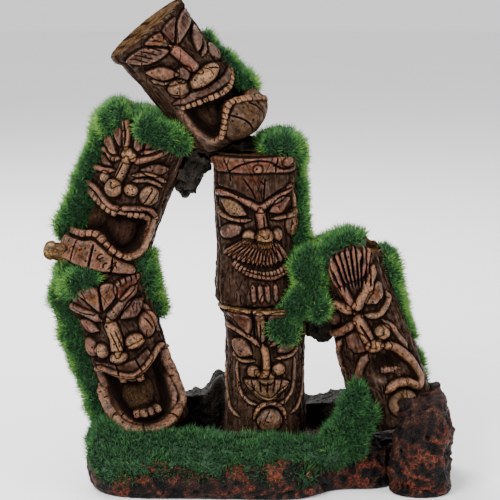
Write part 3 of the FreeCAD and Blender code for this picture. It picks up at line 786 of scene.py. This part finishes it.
def carve_right():
    """A splintered head, straps that cross on the nose bridge, and a hooked lip."""
    log = CarvedLog("right", 67)
    log.bark(1.0, 0.6)
    log.splinter_head(5.0, 10.0, 2.4, 4.0)
    for i in range(10):
        angle = -42 + 9.5 * i
        log.groove([(angle, 1.0), (angle * 0.75 - 2, 0.90), (angle * 0.55 - 5, 0.79)], 1.5, 1.7)
    for i in range(9):
        angle = -37 + 9.5 * i
        splinter = [(angle, 1.0), (angle * 0.8 - 2, 0.92), (angle * 0.6 - 4, 0.83)]
        log.ridge(splinter, 2.4, 1.2, red=0.4 * (i % 3))
    log.ridge([(-13, 0.685), (-15, 0.722), (-23, 0.821), (-28, 0.901), (-27, 0.985)], 4.6, 2.8, red=0.75)
    log.plate([(5, 0.695), (22, 0.68), (38, 0.715), (45, 0.80), (32, 0.80), (16, 0.745)], 1.8, red=0.35,
              ochre=0.2)
    log.ridge([(-9, 0.668), (-4, 0.70), (11, 0.755), (26, 0.827), (40, 0.90)], 5.2, 3.0, ochre=0.45, red=0.5)
    log.ridge([(-14, 0.662), (-28, 0.706), (-44, 0.722), (-60, 0.722)], 5.4, 3.0, ochre=0.4, red=0.5)
    log.ridge([(-2, 0.64), (18, 0.62), (35, 0.645), (48, 0.69), (51, 0.75)], 3.2, 2.2, ochre=0.45)
    log.dome((-58, 0.652), 6.0, 4.6, 2.2, red=0.5)
    log.ridge([(-15, 0.615), (-38, 0.578), (-66, 0.56), (-84, 0.57)], 4.6, 2.6, red=0.8, ochre=0.1)
    log.ridge([(-12, 0.66), (-8, 0.60), (-4, 0.54), (1, 0.475)], 6.2, 3.6, red=0.6, ochre=0.3)
    log.groove([(-8, 0.60), (0, 0.49)], 1.5, 1.8)
    log.dome((3, 0.468), 4.6, 3.4, 3.8, ochre=1.0)
    log.dome((19, 0.525), 4.6, 4.0, 2.6, ochre=0.75)
    log.dome((13, 0.545), 2.6, 2.6, 1.4, ochre=0.3)
    log.dome((-21, 0.505), 6.8, 5.4, 1.9, -20, red=0.55)
    log.ridge([(24, 0.59), (37, 0.528), (44, 0.461), (52, 0.396)], 3.2, 1.7, red=0.7)
    log.bowl((12, 0.36), 12.0, 9.0, 4.5)
    log.teeth([(2, 0.33), (16, 0.318), (32, 0.30)], 6, 2.3, 3.4, -0.6, ochre=0.05, red=0.2)
    log.ridge([(13, 0.462), (31, 0.428), (45, 0.36), (56, 0.284), (60, 0.22), (51, 0.184), (35, 0.229),
               (17, 0.243), (1, 0.212)], 4.6, 3.0, ochre=0.5, red=0.45, taper=0.06)
    log.ridge([(-49, 0.53), (-63, 0.452), (-57, 0.34)], 3.6, 2.2, red=0.4)
    log.ridge([(-12, 0.43), (-25, 0.377), (-37, 0.30)], 4.4, 2.0, red=0.6)
    log.dome((21, 0.131), 7.6, 7.0, 3.2, ochre=0.55)
    log.cracks((-60, 70, 0.05, 0.5), 20, 7)
    log.surface_noise()
    return log.build(foot_round=3.0, head_rim=0.3), log


# --------------------------------------------------------------- materials

class Nodes:
    """A small helper that builds a material's node graph in plain calls."""

    def __init__(self, name):
        self.material = bpy.data.materials.new(name)
        self.material.use_nodes = True
        self.tree = self.material.node_tree
        self.shader = self.tree.nodes["Principled BSDF"]

    def node(self, kind, inputs=None, **settings):
        made = self.tree.nodes.new(kind)
        for key, value in settings.items():
            setattr(made, key, value)
        for key, value in (inputs or {}).items():
            self.feed(made.inputs[key], value)
        return made

    def feed(self, socket, value):
        if isinstance(value, bpy.types.NodeSocket):
            self.tree.links.new(value, socket)
        else:
            socket.default_value = value

    def mix(self, amount, first, second):
        made = self.node("ShaderNodeMix", data_type="RGBA")
        self.feed(made.inputs["Factor"], amount)
        self.feed(made.inputs[6], first if isinstance(first, bpy.types.NodeSocket) else (*first, 1))
        self.feed(made.inputs[7], second if isinstance(second, bpy.types.NodeSocket) else (*second, 1))
        return made.outputs[2]

    def inverse(self, value):
        return self.math("SUBTRACT", 1.0, value)

    def math(self, operation, first, second=0.0, clamp=False):
        made = self.node("ShaderNodeMath", operation=operation, use_clamp=clamp)
        self.feed(made.inputs[0], first)
        self.feed(made.inputs[1], second)
        return made.outputs[0]

    def step(self, value, low, high):
        made = self.node("ShaderNodeMapRange", interpolation_type="SMOOTHSTEP")
        self.feed(made.inputs["Value"], value)
        made.inputs["From Min"].default_value = low
        made.inputs["From Max"].default_value = high
        return made.outputs["Result"]

    def noise(self, place, size_mm, detail=3.0, roughness=0.55):
        made = self.node("ShaderNodeTexNoise", {"Vector": place, "Scale": 1 / (size_mm * MM),
                                                "Detail": detail, "Roughness": roughness})
        return made.outputs["Fac"]

    def stretched(self, place, factors):
        made = self.node("ShaderNodeVectorMath", {0: place, 1: factors}, operation="MULTIPLY")
        return made.outputs["Vector"]

    def attribute(self, name, output):
        return self.node("ShaderNodeAttribute", attribute_name=name).outputs[output]

    def bump(self, height, depth_mm, strength):
        made = self.node("ShaderNodeBump", {"Height": height, "Distance": depth_mm * MM,
                                            "Strength": strength})
        self.feed(self.shader.inputs["Normal"], made.outputs["Normal"])

    def dots(self, place, spacing_mm, radius_mm):
        """1 inside scattered round dots, 0 between them."""
        made = self.node("ShaderNodeTexVoronoi", {"Vector": place, "Scale": 1 / (spacing_mm * MM)})
        share = radius_mm / spacing_mm
        return self.inverse(self.step(made.outputs["Distance"], 0.6 * share, share))


def painted_wood():
    """Resin painted as old wood: brown over all, with painted shade that turns the cuts and hollows nearly
    black, then red and ochre dry-brushed in broken patches on the raised parts, with grain, fine cracks,
    worm holes and a painted sheen."""
    n = Nodes("painted_wood")
    place = n.attribute("LogSpace", "Vector")
    paint = n.node("ShaderNodeSeparateColor", {"Color": n.attribute("Paint", "Color")})
    height, ochre, red = paint.outputs
    unshaded_and_end_grain = n.attribute("Paint", "Alpha")
    broad = n.noise(place, 9.0)
    patch = n.noise(place, 3.0, 4.0, 0.65)
    speck = n.noise(place, 1.0, 3.0, 0.75)
    grain = n.noise(n.stretched(place, (1, 1, 0.12)), 1.3, 4.0, 0.65)
    colour = n.mix(n.step(broad, 0.35, 0.65), (0.0105, 0.0052, 0.0034), (0.030, 0.0155, 0.0100))
    colour = n.mix(n.step(grain, 0.45, 0.62), colour, (0.044, 0.0240, 0.0155))
    # a painted sheen: greyish violet patches laid over the brown
    painted_sheen = n.math("MULTIPLY", n.step(patch, 0.58, 0.72), 0.45)
    colour = n.mix(painted_sheen, colour, (0.036, 0.026, 0.024))
    red_share = n.math("MULTIPLY", red, n.step(patch, 0.36, 0.62))
    colour = n.mix(n.math("MULTIPLY", red_share, 0.85), colour, (0.100, 0.020, 0.0085))
    broken = n.math("MULTIPLY", n.step(speck, 0.36, 0.62), n.step(patch, 0.30, 0.60))
    ochre_share = n.math("MULTIPLY", n.math("MULTIPLY", ochre, 1.15), broken, clamp=True)
    colour = n.mix(n.math("MULTIPLY", ochre_share, 0.85), colour, (0.290, 0.150, 0.045))
    brushed = n.math("MULTIPLY", n.step(height, 0.60, 1.0), broken)
    colour = n.mix(n.math("MULTIPLY", brushed, 0.70), colour, (0.235, 0.102, 0.054))
    # painted shade: low places and the cuts, hollows and holes are mixed towards near black; on the sawn log
    # ends the same mix gives the dark streaks of the end grain
    low = n.inverse(n.step(height, 0.22, 0.60))
    cut_shade_and_end_grain = n.inverse(n.step(unshaded_and_end_grain, 0.15, 0.85))
    shade_and_end_grain = n.math("MAXIMUM", n.math("MULTIPLY", low, 0.92), cut_shade_and_end_grain)
    colour = n.mix(n.math("MULTIPLY", shade_and_end_grain, 0.95), colour, (0.0035, 0.0022, 0.0018))
    holes = n.dots(place, 2.6, 0.40)
    splits = n.dots(n.stretched(place, (1.0, 1.0, 0.16)), 2.4, 0.26)
    marks = n.math("MAXIMUM", holes, n.math("MULTIPLY", splits, 0.8))
    # the holes and splits get their shape from the bump, and are painted near black as the shade inside them
    colour = n.mix(n.math("MULTIPLY", marks, 0.92), colour, (0.003, 0.002, 0.0015))
    n.feed(n.shader.inputs["Base Color"], colour)
    rough = n.math("ADD", n.math("MULTIPLY", patch, 0.35), 0.20)
    n.feed(n.shader.inputs["Roughness"], rough)
    gloss = n.math("MULTIPLY", n.step(unshaded_and_end_grain, 0.45, 0.95), n.step(height, 0.50, 0.85))
    n.feed(n.shader.inputs["Specular IOR Level"], n.math("MULTIPLY", gloss, 0.28))
    relief = n.math("ADD", n.math("MULTIPLY", grain, 0.6), n.math("MULTIPLY", speck, 0.7))
    n.bump(n.math("SUBTRACT", relief, n.math("MULTIPLY", marks, 0.9)), 0.6, 0.75)
    return n.material


def lava_rock(name, body, crest, crest_share):
    """Resin painted as porous lava: nearly black, with the rims of its pores and its crests
    dry-brushed, and painted shade that makes its pits and low places blacker."""
    n = Nodes(name)
    place = n.attribute("RockSpace", "Vector")
    paint = n.node("ShaderNodeSeparateColor", {"Color": n.attribute("Paint", "Color")})
    height, warm, _ = paint.outputs
    patch = n.noise(place, 6.0, 4.0, 0.6)
    speck = n.noise(place, 1.1, 3.0, 0.7)
    pores = n.node("ShaderNodeTexVoronoi", {"Vector": place, "Scale": 1 / (2.1 * MM), "Randomness": 1.0},
                   feature="DISTANCE_TO_EDGE").outputs["Distance"]
    rims = n.inverse(n.step(pores, 0.05, 0.22))
    colour = n.mix(n.step(patch, 0.35, 0.7), body, tuple(2.4 * c for c in body))
    raised = n.math("MULTIPLY", n.step(height, 0.40, 0.80), n.step(speck, 0.36, 0.58))
    raised = n.math("MULTIPLY", raised, n.math("ADD", n.math("MULTIPLY", rims, 0.75), 0.25))
    brush = n.math("ADD", 0.25, n.math("MULTIPLY", warm, crest_share))
    colour = n.mix(n.math("MULTIPLY", raised, brush, clamp=True), colour, crest)
    tan = n.math("MULTIPLY", n.math("MULTIPLY", raised, n.step(patch, 0.5, 0.7)), 0.5 * crest_share)
    colour = n.mix(tan, colour, (0.120, 0.058, 0.026))
    # painted shade: the pits and low places of the rock are mixed towards black
    low = n.inverse(n.step(height, 0.05, 0.42))
    colour = n.mix(n.math("MULTIPLY", low, 0.9), colour, (0.0015, 0.0012, 0.0012))
    n.feed(n.shader.inputs["Base Color"], colour)
    n.feed(n.shader.inputs["Roughness"], n.math("ADD", n.math("MULTIPLY", speck, 0.4), 0.32))
    n.shader.inputs["Specular IOR Level"].default_value = 0.12
    n.bump(n.math("ADD", n.math("MULTIPLY", speck, 0.6), rims), 0.9, 0.8)
    return n.material


def fibre_green(name, colour, roughness):
    """Dyed polyester fibre of one green: the greens are dealt out fibre by fibre, lighter as painted rim
    light where the pad's surface faces sideways, and one green lighter at each fibre's tip as painted light.
    """
    n = Nodes(name)
    n.shader.inputs["Base Color"].default_value = (*colour, 1)
    n.shader.inputs["Roughness"].default_value = roughness
    n.shader.inputs["Specular IOR Level"].default_value = 0.25
    return n.material


def moss_backing():
    """The dark glued floor that the fibres stand in."""
    n = Nodes("moss_floor")
    place = n.node("ShaderNodeTexCoord").outputs["Object"]
    patch = n.noise(place, 3.0, 4.0, 0.6)
    colour = n.mix(n.step(patch, 0.3, 0.7), (0.004, 0.018, 0.006), (0.012, 0.060, 0.016))
    n.feed(n.shader.inputs["Base Color"], colour)
    n.shader.inputs["Roughness"].default_value = 0.9
    n.bump(patch, 0.8, 0.8)
    return n.material


# -------------------------------------------------------------------- rocks

def evaluated_copy(piece, name):
    """The object's mesh with its modifiers applied, as a new object."""
    graph = bpy.context.evaluated_depsgraph_get()
    return linked(name, bpy.data.meshes.new_from_object(piece.evaluated_get(graph)))


def remeshed(source, name, voxel_mm, smooth):
    """A voxel-remeshed and smoothed copy of a mesh object."""
    working = linked("working", source.data.copy())
    remesh = working.modifiers.new("Remesh", "REMESH")
    remesh.mode = "VOXEL"
    remesh.voxel_size = voxel_mm * MM
    soften = working.modifiers.new("Smooth", "SMOOTH")
    soften.iterations = smooth
    fresh = evaluated_copy(working, name)
    bpy.data.objects.remove(working)
    return fresh


def vertex_arrays(piece):
    """Vertex places in millimetres, and vertex normals."""
    count = len(piece.data.vertices)
    points = np.zeros(count * 3)
    normals = np.zeros(count * 3)
    piece.data.vertices.foreach_get("co", points)
    piece.data.vertices.foreach_get("normal", normals)
    return points.reshape(-1, 3) / MM, normals.reshape(-1, 3)


def move_vertices(piece, points):
    """Puts the vertices at places in millimetres."""
    piece.data.vertices.foreach_set("co", (points * MM).astype(np.float32).ravel())
    piece.data.update()


def rough_rock(node, material, voxel_mm, lumps_mm, crests_mm, seed, grow=0.0, fall=0.0, knob=0.0):
    """A rock piece from its CAD solid: remeshed, then lumps, crests and pits pushed in and out.
    It grows or shrinks a little. Its crest may fall away to the right and rise to a knob."""
    piece = remeshed(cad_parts[node], f"{node}_rock", voxel_mm / DETAIL, smooth=6)
    points, normals = vertex_arrays(piece)
    lumps = fractal(points, 15.0, 2, seed)
    warped = points + 2.5 * np.stack([fractal(points, 8.0, 2, seed + k) for k in (20, 24, 28)], axis=-1)
    crests = ridged(warped, 6.0, 3, seed + 3) - 0.70
    knobs = ridged(points, 3.0, 2, seed + 6) - 0.68
    pits = np.clip(noise(points, 2.6, seed + 9) - 0.25, 0, 1)
    push = grow + lumps_mm * lumps + crests_mm * (3.2 * crests + 1.6 * knobs) - 3.0 * pits
    grounded = smoothstep(0.2, 3.0, points[:, 2])
    moved = points + normals * (push * grounded)[:, None]
    moved[:, 2] -= fall * smoothstep(5, 30, moved[:, 0]) * smoothstep(18, 32, moved[:, 2])
    moved[:, 2] += knob * np.exp(-((moved[:, 0] + 15) / 5) ** 2) * smoothstep(22, 33, moved[:, 2])
    moved[:, 2] = np.maximum(moved[:, 2], 0.0)
    move_vertices(piece, moved)
    height = np.clip(0.55 + 1.5 * crests + 0.9 * knobs - 1.5 * pits, 0, 1)
    warm = smoothstep(-0.5, 0.7, noise(points, 16.0, seed + 12))
    add_colour(piece, "Paint", np.stack([height, warm, 0 * height, 1 + 0 * height], axis=-1))
    add_vector(piece, "RockSpace", moved * MM)
    piece.data.materials.clear()
    piece.data.materials.append(material)
    piece.data.shade_smooth()
    stand_for(piece, node)


def broken_twig(material):
    """A short snapped twig that stands out of the moss, with a pale worn end."""
    rows = 26
    columns = 40
    start = np.array([-84.0, -5.5, 110.0])
    tip = np.array([-98.5, -8.5, 113.0])
    along = (tip - start) / np.linalg.norm(tip - start)
    side = np.cross(along, [0, 1, 0])
    side /= np.linalg.norm(side)
    front = np.cross(side, along)
    share = np.linspace(0, 1, rows)[:, None]
    turn = np.linspace(0, 2 * np.pi, columns, endpoint=False)[None, :]
    level = 14 * share + 0 * turn
    flat = np.stack([5 * np.cos(turn) + 0 * share, 5 * np.sin(turn) + 0 * share, level], axis=-1)
    grain = ridged(flat.reshape(-1, 3) * np.array([1, 1, 0.2]), 2.6, 2, 91).reshape(rows, columns)
    radius = (4.3 + 0.9 * (grain - 0.6)) * np.sqrt(np.clip(1.02 - share ** 9, 0.02, 1)) + 0.6 * (share > 0.7)
    spine = start + share[:, :, None] * (tip - start)
    outward = np.cos(turn)[:, :, None] * side + np.sin(turn)[:, :, None] * front
    points = spine + radius[:, :, None] * outward
    order = range(rows)[::-1]
    piece = mesh_object("twig_stub_wood", points.reshape(-1, 3) * MM, ring_quads(order, columns),
                        ring_caps=end_caps(order, columns))
    height = np.clip(0.3 + 0.9 * (grain - 0.4), 0, 1).ravel()
    ochre = np.repeat(0.35 + 0.65 * share, columns, axis=1).ravel()
    add_colour(piece, "Paint", np.stack([height, ochre, 0 * height, 1 + 0 * height], axis=-1))
    add_vector(piece, "LogSpace", flat.reshape(-1, 3) * MM)
    piece.data.materials.append(material)
    stand_for(piece, "twig_stub")


# --------------------------------------------------------------------- moss

class Mound:
    """The lumps that make up one moss pad, in millimetres."""

    def __init__(self, node, seed):
        self.node = node
        self.seed = seed
        self.lumps = []

    def lump(self, centre, radii):
        """An ellipsoid set square to the world."""
        self.lumps.append((np.array(centre, float), np.diag(np.array(radii, float))))

    def band(self, start, end, count, radii, end_radii=None):
        """A row of lumps between two places."""
        end_radii = end_radii or radii
        for share in np.linspace(0, 1, count):
            centre = np.array(start) * (1 - share) + np.array(end) * share
            self.lump(centre, np.array(radii) * (1 - share) + np.array(end_radii) * share)

    def hug(self, log, start, end, count, size, end_size=None, lift=0.0):
        """A row of lumps against a log, from one (angle, height) to another. A size is the
        half-width round the log, the half-thickness and the half-length along it."""
        end_size = end_size or size
        for share in np.linspace(0, 1, count):
            angle = math.radians(start[0] * (1 - share) + end[0] * share)
            level = (start[1] * (1 - share) + end[1] * share) * log.length
            across, out, along = np.array(size) * (1 - share) + np.array(end_size) * share
            away = np.array([math.sin(angle), -math.cos(angle), 0])
            local = away * (LOG_RADIUS + lift) + np.array([0, 0, level])
            axes = np.array([[math.cos(angle), math.sin(angle), 0], away, [0, 0, 1]]).T
            centre = log.rotation @ local + log.foot
            self.lumps.append((centre, log.rotation @ axes @ np.diag([across, out, along])))

    def backing(self):
        """The lumps joined into one closed, gently hummocky surface."""
        build = bmesh.new()
        for centre, axes in self.lumps:
            matrix = Matrix.Identity(4)
            for row in range(3):
                for column in range(3):
                    matrix[row][column] = axes[row, column] * MM
                matrix[row][3] = centre[row] * MM
            bmesh.ops.create_icosphere(build, subdivisions=3, radius=1.0, matrix=matrix)
        mesh = bpy.data.meshes.new("lumps")
        build.to_mesh(mesh)
        build.free()
        rough = linked("lumps", mesh)
        piece = remeshed(rough, f"{self.node}_backing", 1.3, smooth=4)
        bpy.data.objects.remove(rough)
        points, normals = vertex_arrays(piece)
        points = points + normals * (1.5 * fractal(points, 7.0, 2, self.seed))[:, None]
        points[:, 2] = np.maximum(points[:, 2], 0.4)
        move_vertices(piece, points)
        return piece


def surface_samples(piece, count, rng):
    """Places spread evenly over a mesh surface (mm), with the surface normals there."""
    piece.data.calc_loop_triangles()
    triangles = np.zeros(len(piece.data.loop_triangles) * 3, np.int32)
    piece.data.loop_triangles.foreach_get("vertices", triangles)
    triangles = triangles.reshape(-1, 3)
    points, normals = vertex_arrays(piece)
    a, b, c = points[triangles].transpose(1, 0, 2)
    area = np.linalg.norm(np.cross(b - a, c - a), axis=1)
    pick = rng.choice(len(triangles), count, p=area / area.sum())
    u = rng.random(count)
    v = rng.random(count)
    over = u + v > 1
    u[over] = 1 - u[over]
    v[over] = 1 - v[over]
    first, second, third = triangles[pick].T
    w = (1 - u - v)[:, None]
    u = u[:, None]
    v = v[:, None]
    place = points[first] * w + points[second] * u + points[third] * v
    normal = normals[first] * w + normals[second] * u + normals[third] * v
    return place, normal / np.linalg.norm(normal, axis=1)[:, None]


def unit(vectors):
    return vectors / (np.linalg.norm(vectors, axis=1)[:, None] + 1e-9)


def grow_fibres(roots, directions, lengths, rng):
    """Bent three-sided spikes, one for each root: points, quads and triangles."""
    count = len(roots)
    side = unit(np.cross(directions, unit(rng.normal(size=(count, 3)))))
    third = np.cross(directions, side)
    bend = unit(rng.normal(size=(count, 3))) * (0.22 * lengths)[:, None]
    bend[:, 2] += 0.10 * lengths
    middle = roots + directions * (0.55 * lengths)[:, None] + 0.35 * bend
    tip = roots + directions * lengths[:, None] + bend
    rings = []
    for centre, size in ((roots, 0.5 * FIBRE_WIDTH), (middle, 0.42 * FIBRE_WIDTH)):
        for corner in range(3):
            angle = 2 * math.pi * corner / 3
            rings.append(centre + size * (math.cos(angle) * side + math.sin(angle) * third))
    points = np.stack(rings + [tip], axis=1).reshape(-1, 3)
    first = 7 * np.arange(count)[:, None]
    quads = np.concatenate([first + np.array([[a, (a + 1) % 3, 3 + (a + 1) % 3, 3 + a]])
                            for a in range(3)], axis=1)
    tips = np.concatenate([first + np.array([[3 + a, 3 + (a + 1) % 3, 6]]) for a in range(3)]
                          + [first + np.array([[2, 1, 0]])], axis=1)
    return points, quads.reshape(-1, 4), tips.reshape(-1, 3)


def moss_pad(mound, solids, greens, dark):
    """A backing and a dense pile of fibres, kept clear of the logs under it and of the floor."""
    backing = mound.backing()
    on_base = mound.node.startswith("base")
    rim_light = 0.35 if on_base else 0.6
    sideways = 0.6 if on_base else 1.0
    rng = np.random.default_rng(mound.seed)
    area = sum(face.area for face in backing.data.polygons) / MM ** 2
    wanted = int(FIBRES_PER_MM2 * area)
    place, normal = surface_samples(backing, min(wanted * 2, 90000), rng)
    clear = np.ones(len(place), bool)
    ahead = place + 2.2 * normal
    for log in solids:
        clear &= log.depth_of(place) < 0.6
        clear &= log.depth_of(ahead) < 0.0
    clear &= ahead[:, 2] > 1.2
    keep = np.flatnonzero(clear)
    keep = keep[:min(int(wanted * clear.mean()) + 1, MOST_FIBRES)]
    place = place[keep]
    normal = normal[keep]
    tuft = noise(place, 4.0, mound.seed + 1)
    swirl = np.stack([noise(place, 6.5, mound.seed + k) for k in (2, 3, 4)], axis=-1)
    stray = 0.38 * rng.normal(size=place.shape)
    directions = unit(normal + 0.60 * swirl + stray + np.array([0, -0.05, 0.12]))
    lengths = (FIBRE_LENGTH + 1.2 * tuft) * rng.uniform(0.55, 1.30, len(place))
    points, quads, tips = grow_fibres(place - 0.5 * normal, directions, lengths, rng)
    points[:, 2] = np.maximum(points[:, 2], 0.3)
    piece = mesh_object(f"{mound.node}_pile", points * MM, quads, triangles=tips)
    # painted rim light: fibres on pads that face sideways, and less so upwards, are dealt lighter greens;
    # pads on the base get less of it
    rim_lit = np.clip(sideways * np.hypot(normal[:, 0], rim_light * normal[:, 2]) - 0.40, 0, 1)
    tone = 0.8 + 3.4 * rim_lit + 0.7 * tuft + rng.normal(0, 0.6, len(place))
    tone = np.clip(tone, 0, len(greens) - 2).astype(int)
    # painted light: the tip of each fibre is one green lighter than its stem
    stem_shades = np.repeat(tone, 3)
    tip_shades = np.stack([tone + 1, tone + 1, tone + 1, tone], axis=1).ravel()
    shades = np.concatenate([stem_shades, tip_shades]).astype(np.int32)
    for green in greens:
        piece.data.materials.append(green)
    piece.data.polygons.foreach_set("material_index", shades)
    backing.data.materials.append(dark)
    backing.data.shade_smooth()
    for part in (backing, piece):
        stand_for(part, mound.node)


def moss_mounds(logs):
    """Where every pad of moss lies."""
    mounds = {}

    def mound(name):
        mounds[name] = Mound(name, 100 + 7 * len(mounds))
        return mounds[name]

    top, upper, lower = logs["top"], logs["left_upper"], logs["left_lower"]
    centre, right = logs["centre_upper"], logs["right"]

    pad = mound("top_back_moss")
    pad.hug(top, (86, 0.60), (80, 0.24), 5, (5, 1.0, 6), (8, 4.0, 7))
    pad.hug(top, (110, 0.62), (110, 0.24), 6, (7, 1.0, 6), (8, 4.0, 8))
    pad.hug(top, (138, 0.66), (138, 0.24), 6, (8, 1.6, 7), (8, 4.0, 8))

    pad = mound("left_upper_cap_moss")
    pad.hug(upper, (-70, 0.90), (-45, 0.97), 3, (7, 2.6, 7))
    pad.hug(upper, (12, 1.0), (60, 0.97), 5, (6, 3.6, 5.0))
    pad.band((-62, -2, 175), (-38, -6, 168), 4, (8, 11, 5.5))
    pad.band((-63, 10, 175), (-36, 8, 169), 4, (8, 10, 5.5))

    pad = mound("left_upper_flank_moss")
    pad.hug(upper, (-88, 0.88), (-90, 0.17), 8, (8, 7.0, 8), (8, 7.6, 6))
    pad.hug(upper, (-118, 0.90), (-118, 0.12), 8, (9, 5.5, 8))
    pad.hug(upper, (-142, 0.90), (-142, 0.12), 8, (9, 5.0, 8))

    pad = mound("left_lower_top_moss")
    pad.hug(lower, (-66, 1.0), (-22, 1.04), 4, (7, 4.0, 5.0))
    pad.band((-86, 0, 99), (-68, -6, 103), 3, (8, 12, 7))

    pad = mound("left_lower_flank_moss")
    pad.hug(lower, (-96, 0.93), (-84, 0.16), 8, (9, 10.0, 9), (8, 6.0, 7))
    pad.hug(lower, (-126, 0.90), (-122, 0.12), 8, (10, 5.5, 8))

    pad = mound("left_lower_shoulder_moss")
    pad.hug(lower, (100, 0.72), (84, 1.03), 4, (6, 3.4, 5), (9, 4.0, 5))
    pad.hug(lower, (128, 0.74), (120, 1.0), 4, (9, 3.6, 7))

    pad = mound("centre_cap_moss")
    pad.hug(centre, (60, 1.0), (104, 0.95), 4, (5, 3.2, 5))
    pad.band((12, 0, 161), (16, 6, 161), 3, (8, 10, 6.5))
    pad.band((11, -12, 163), (17, -10, 163), 2, (4, 4, 5))

    pad = mound("centre_flank_moss")
    pad.hug(centre, (88, 0.86), (82, 0.32), 7, (6, 2.2, 7), (8, 6.0, 7))
    pad.hug(centre, (118, 0.9), (118, 0.25), 7, (11, 3.5, 8))

    pad = mound("bridge_moss")
    pad.band((28, -12, 106), (32, -12, 92), 4, (8, 8, 7), (5.5, 6, 7))
    pad.band((28, -15, 92), (13, -18, 77), 5, (6, 4, 7), (4, 3, 6))
    pad.band((21, -15, 84), (19, -17, 74), 3, (5, 3.5, 5))
    pad.band((33, -10, 96), (33, -15, 86), 3, (4, 6, 6))
    pad.band((33, 4, 104), (34, 4, 92), 2, (9, 11, 7))

    pad = mound("right_top_moss")
    pad.band((34, -12, 107), (45, -6, 116), 4, (6, 5, 3.5))
    pad.band((37, 2, 109), (49, 2, 115), 4, (8, 11, 4.5))
    pad.band((52, -6, 112), (60, -4, 102), 3, (4, 8, 3.5))

    pad = mound("right_flank_moss")
    pad.hug(right, (90, 0.83), (92, 0.14), 9, (5, 1.6, 6), (6, 1.6, 7), lift=-4.0)
    pad.hug(right, (114, 0.84), (114, 0.14), 9, (7, 2.0, 7), lift=-3.5)
    pad.hug(right, (138, 0.84), (138, 0.14), 9, (8, 2.8, 7), lift=-2.5)

    pad = mound("base_front_moss")
    pad.band((-66, -26, 19), (38, -32, 18), 12, (9, 12, 6.5))
    pad.band((-62, -38, 13), (22, -41, 10), 11, (9, 6, 7))
    pad.band((-70, -28, 18), (-68, -10, 22), 3, (6, 10, 9))

    pad = mound("base_left_moss")
    pad.band((-69, -12, 20), (-64, 14, 20), 4, (8, 9, 9))
    pad.band((-68, 0, 32), (-72, 5, 40), 2, (5, 8, 8))

    pad = mound("base_riser_moss")
    pad.band((41, -32, 21), (52, -24, 46), 6, (7, 6, 5), (3, 5, 5))
    pad.band((49, -32, 21), (57, -26, 35), 4, (5, 4, 5), (3, 4, 5))
    return mounds.values()


# ------------------------------------------------------------------- stage

def soft_light(name, place, target, width, watts):
    """An area light at a place in metres, facing a target."""
    data = bpy.data.lights.new(name, "AREA")
    data.shape = "RECTANGLE"
    data.size = width
    data.size_y = 0.7 * width
    data.energy = watts
    lamp = linked(name, data)
    lamp.location = place
    lamp.rotation_euler = (Vector(target) - Vector(place)).to_track_quat("-Z", "Y").to_euler()


def studio():
    """A pale floor, a white surround, a large soft key light and the camera."""
    n = Nodes("studio_floor")
    place = n.node("ShaderNodeTexCoord").outputs["Object"]
    tone = n.noise(place, 120.0, 2.0)
    n.feed(n.shader.inputs["Base Color"], n.mix(tone, (0.88, 0.88, 0.88), (0.93, 0.93, 0.93)))
    n.shader.inputs["Roughness"].default_value = 0.75
    wide = 2.5
    corners = [(-wide, -wide, 0), (wide, -wide, 0), (wide, wide, 0), (-wide, wide, 0)]
    floor = mesh_object("floor", np.array(corners), np.array([[0, 1, 2, 3]]))
    floor.location.z = -0.0004
    floor.data.materials.append(n.material)

    world = bpy.data.worlds.new("studio")
    world.use_nodes = True
    surround = world.node_tree.nodes["Background"]
    surround.inputs["Color"].default_value = (1.0, 1.0, 1.0, 1)
    surround.inputs["Strength"].default_value = 1.1
    bpy.context.scene.world = world
    middle = (0, 0, 0.10)
    soft_light("key", (-0.45, -0.75, 0.75), middle, 0.4, 16)
    soft_light("fill", (0.8, -0.5, 0.45), middle, 0.5, 7)
    soft_light("rim", (-0.3, 0.6, 0.8), middle, 0.5, 14)

    aim = Vector((0.0005, 0, 0.111))
    back = Vector((0, -math.cos(CAMERA_ELEVATION), math.sin(CAMERA_ELEVATION)))
    camera = linked("camera", bpy.data.cameras.new("camera"))
    camera.data.sensor_width = 36
    camera.data.lens = camera.data.sensor_width * CAMERA_DISTANCE / PICTURE_WIDTH
    camera.data.clip_end = 20
    camera.location = aim + CAMERA_DISTANCE * back
    camera.rotation_euler = (math.pi / 2 - CAMERA_ELEVATION, 0, 0)
    bpy.context.scene.camera = camera


# ----------------------------------------------------------------- assembly

wood = painted_wood()
carved = {}
for carve in (carve_top, carve_left_upper, carve_left_lower, carve_centre_upper, carve_centre_lower,
              carve_right):
    piece, log = carve()
    piece.data.materials.append(wood)
    stand_for(piece, f"{log.name}_totem")
    carved[log.name] = log
broken_twig(wood)

black_lava = lava_rock("black_lava", (0.0065, 0.0048, 0.0034), (0.036, 0.024, 0.016), 0.5)
red_lava = lava_rock("red_lava", (0.0048, 0.0024, 0.0018), (0.130, 0.024, 0.011), 0.9)
rough_rock("base_rock", red_lava, 1.0, 1.0, 0.7, 3)
rough_rock("right_outcrop", red_lava, 0.8, 2.4, 1.0, 13, grow=-1.6)
rough_rock("rear_ridge", black_lava, 1.0, 2.4, 1.3, 23, fall=3.0, knob=8.0)
rough_rock("junction_rubble", black_lava, 0.9, 1.0, 1.2, 33, grow=-0.8)
rough_rock("arch_bridge_rock", black_lava, 0.9, 1.0, 1.2, 43)

greens = [
    fibre_green("fibre_deep", (0.003, 0.014, 0.005), 0.8),
    fibre_green("fibre_bottle", (0.010, 0.044, 0.013), 0.8),
    fibre_green("fibre_grass", (0.024, 0.098, 0.025), 0.75),
    fibre_green("fibre_leaf", (0.066, 0.185, 0.032), 0.7),
    fibre_green("fibre_lime", (0.200, 0.345, 0.050), 0.65),
]
moss_floor = moss_backing()
for mound in moss_mounds(carved):
    moss_pad(mound, carved.values(), greens, moss_floor)

studio()
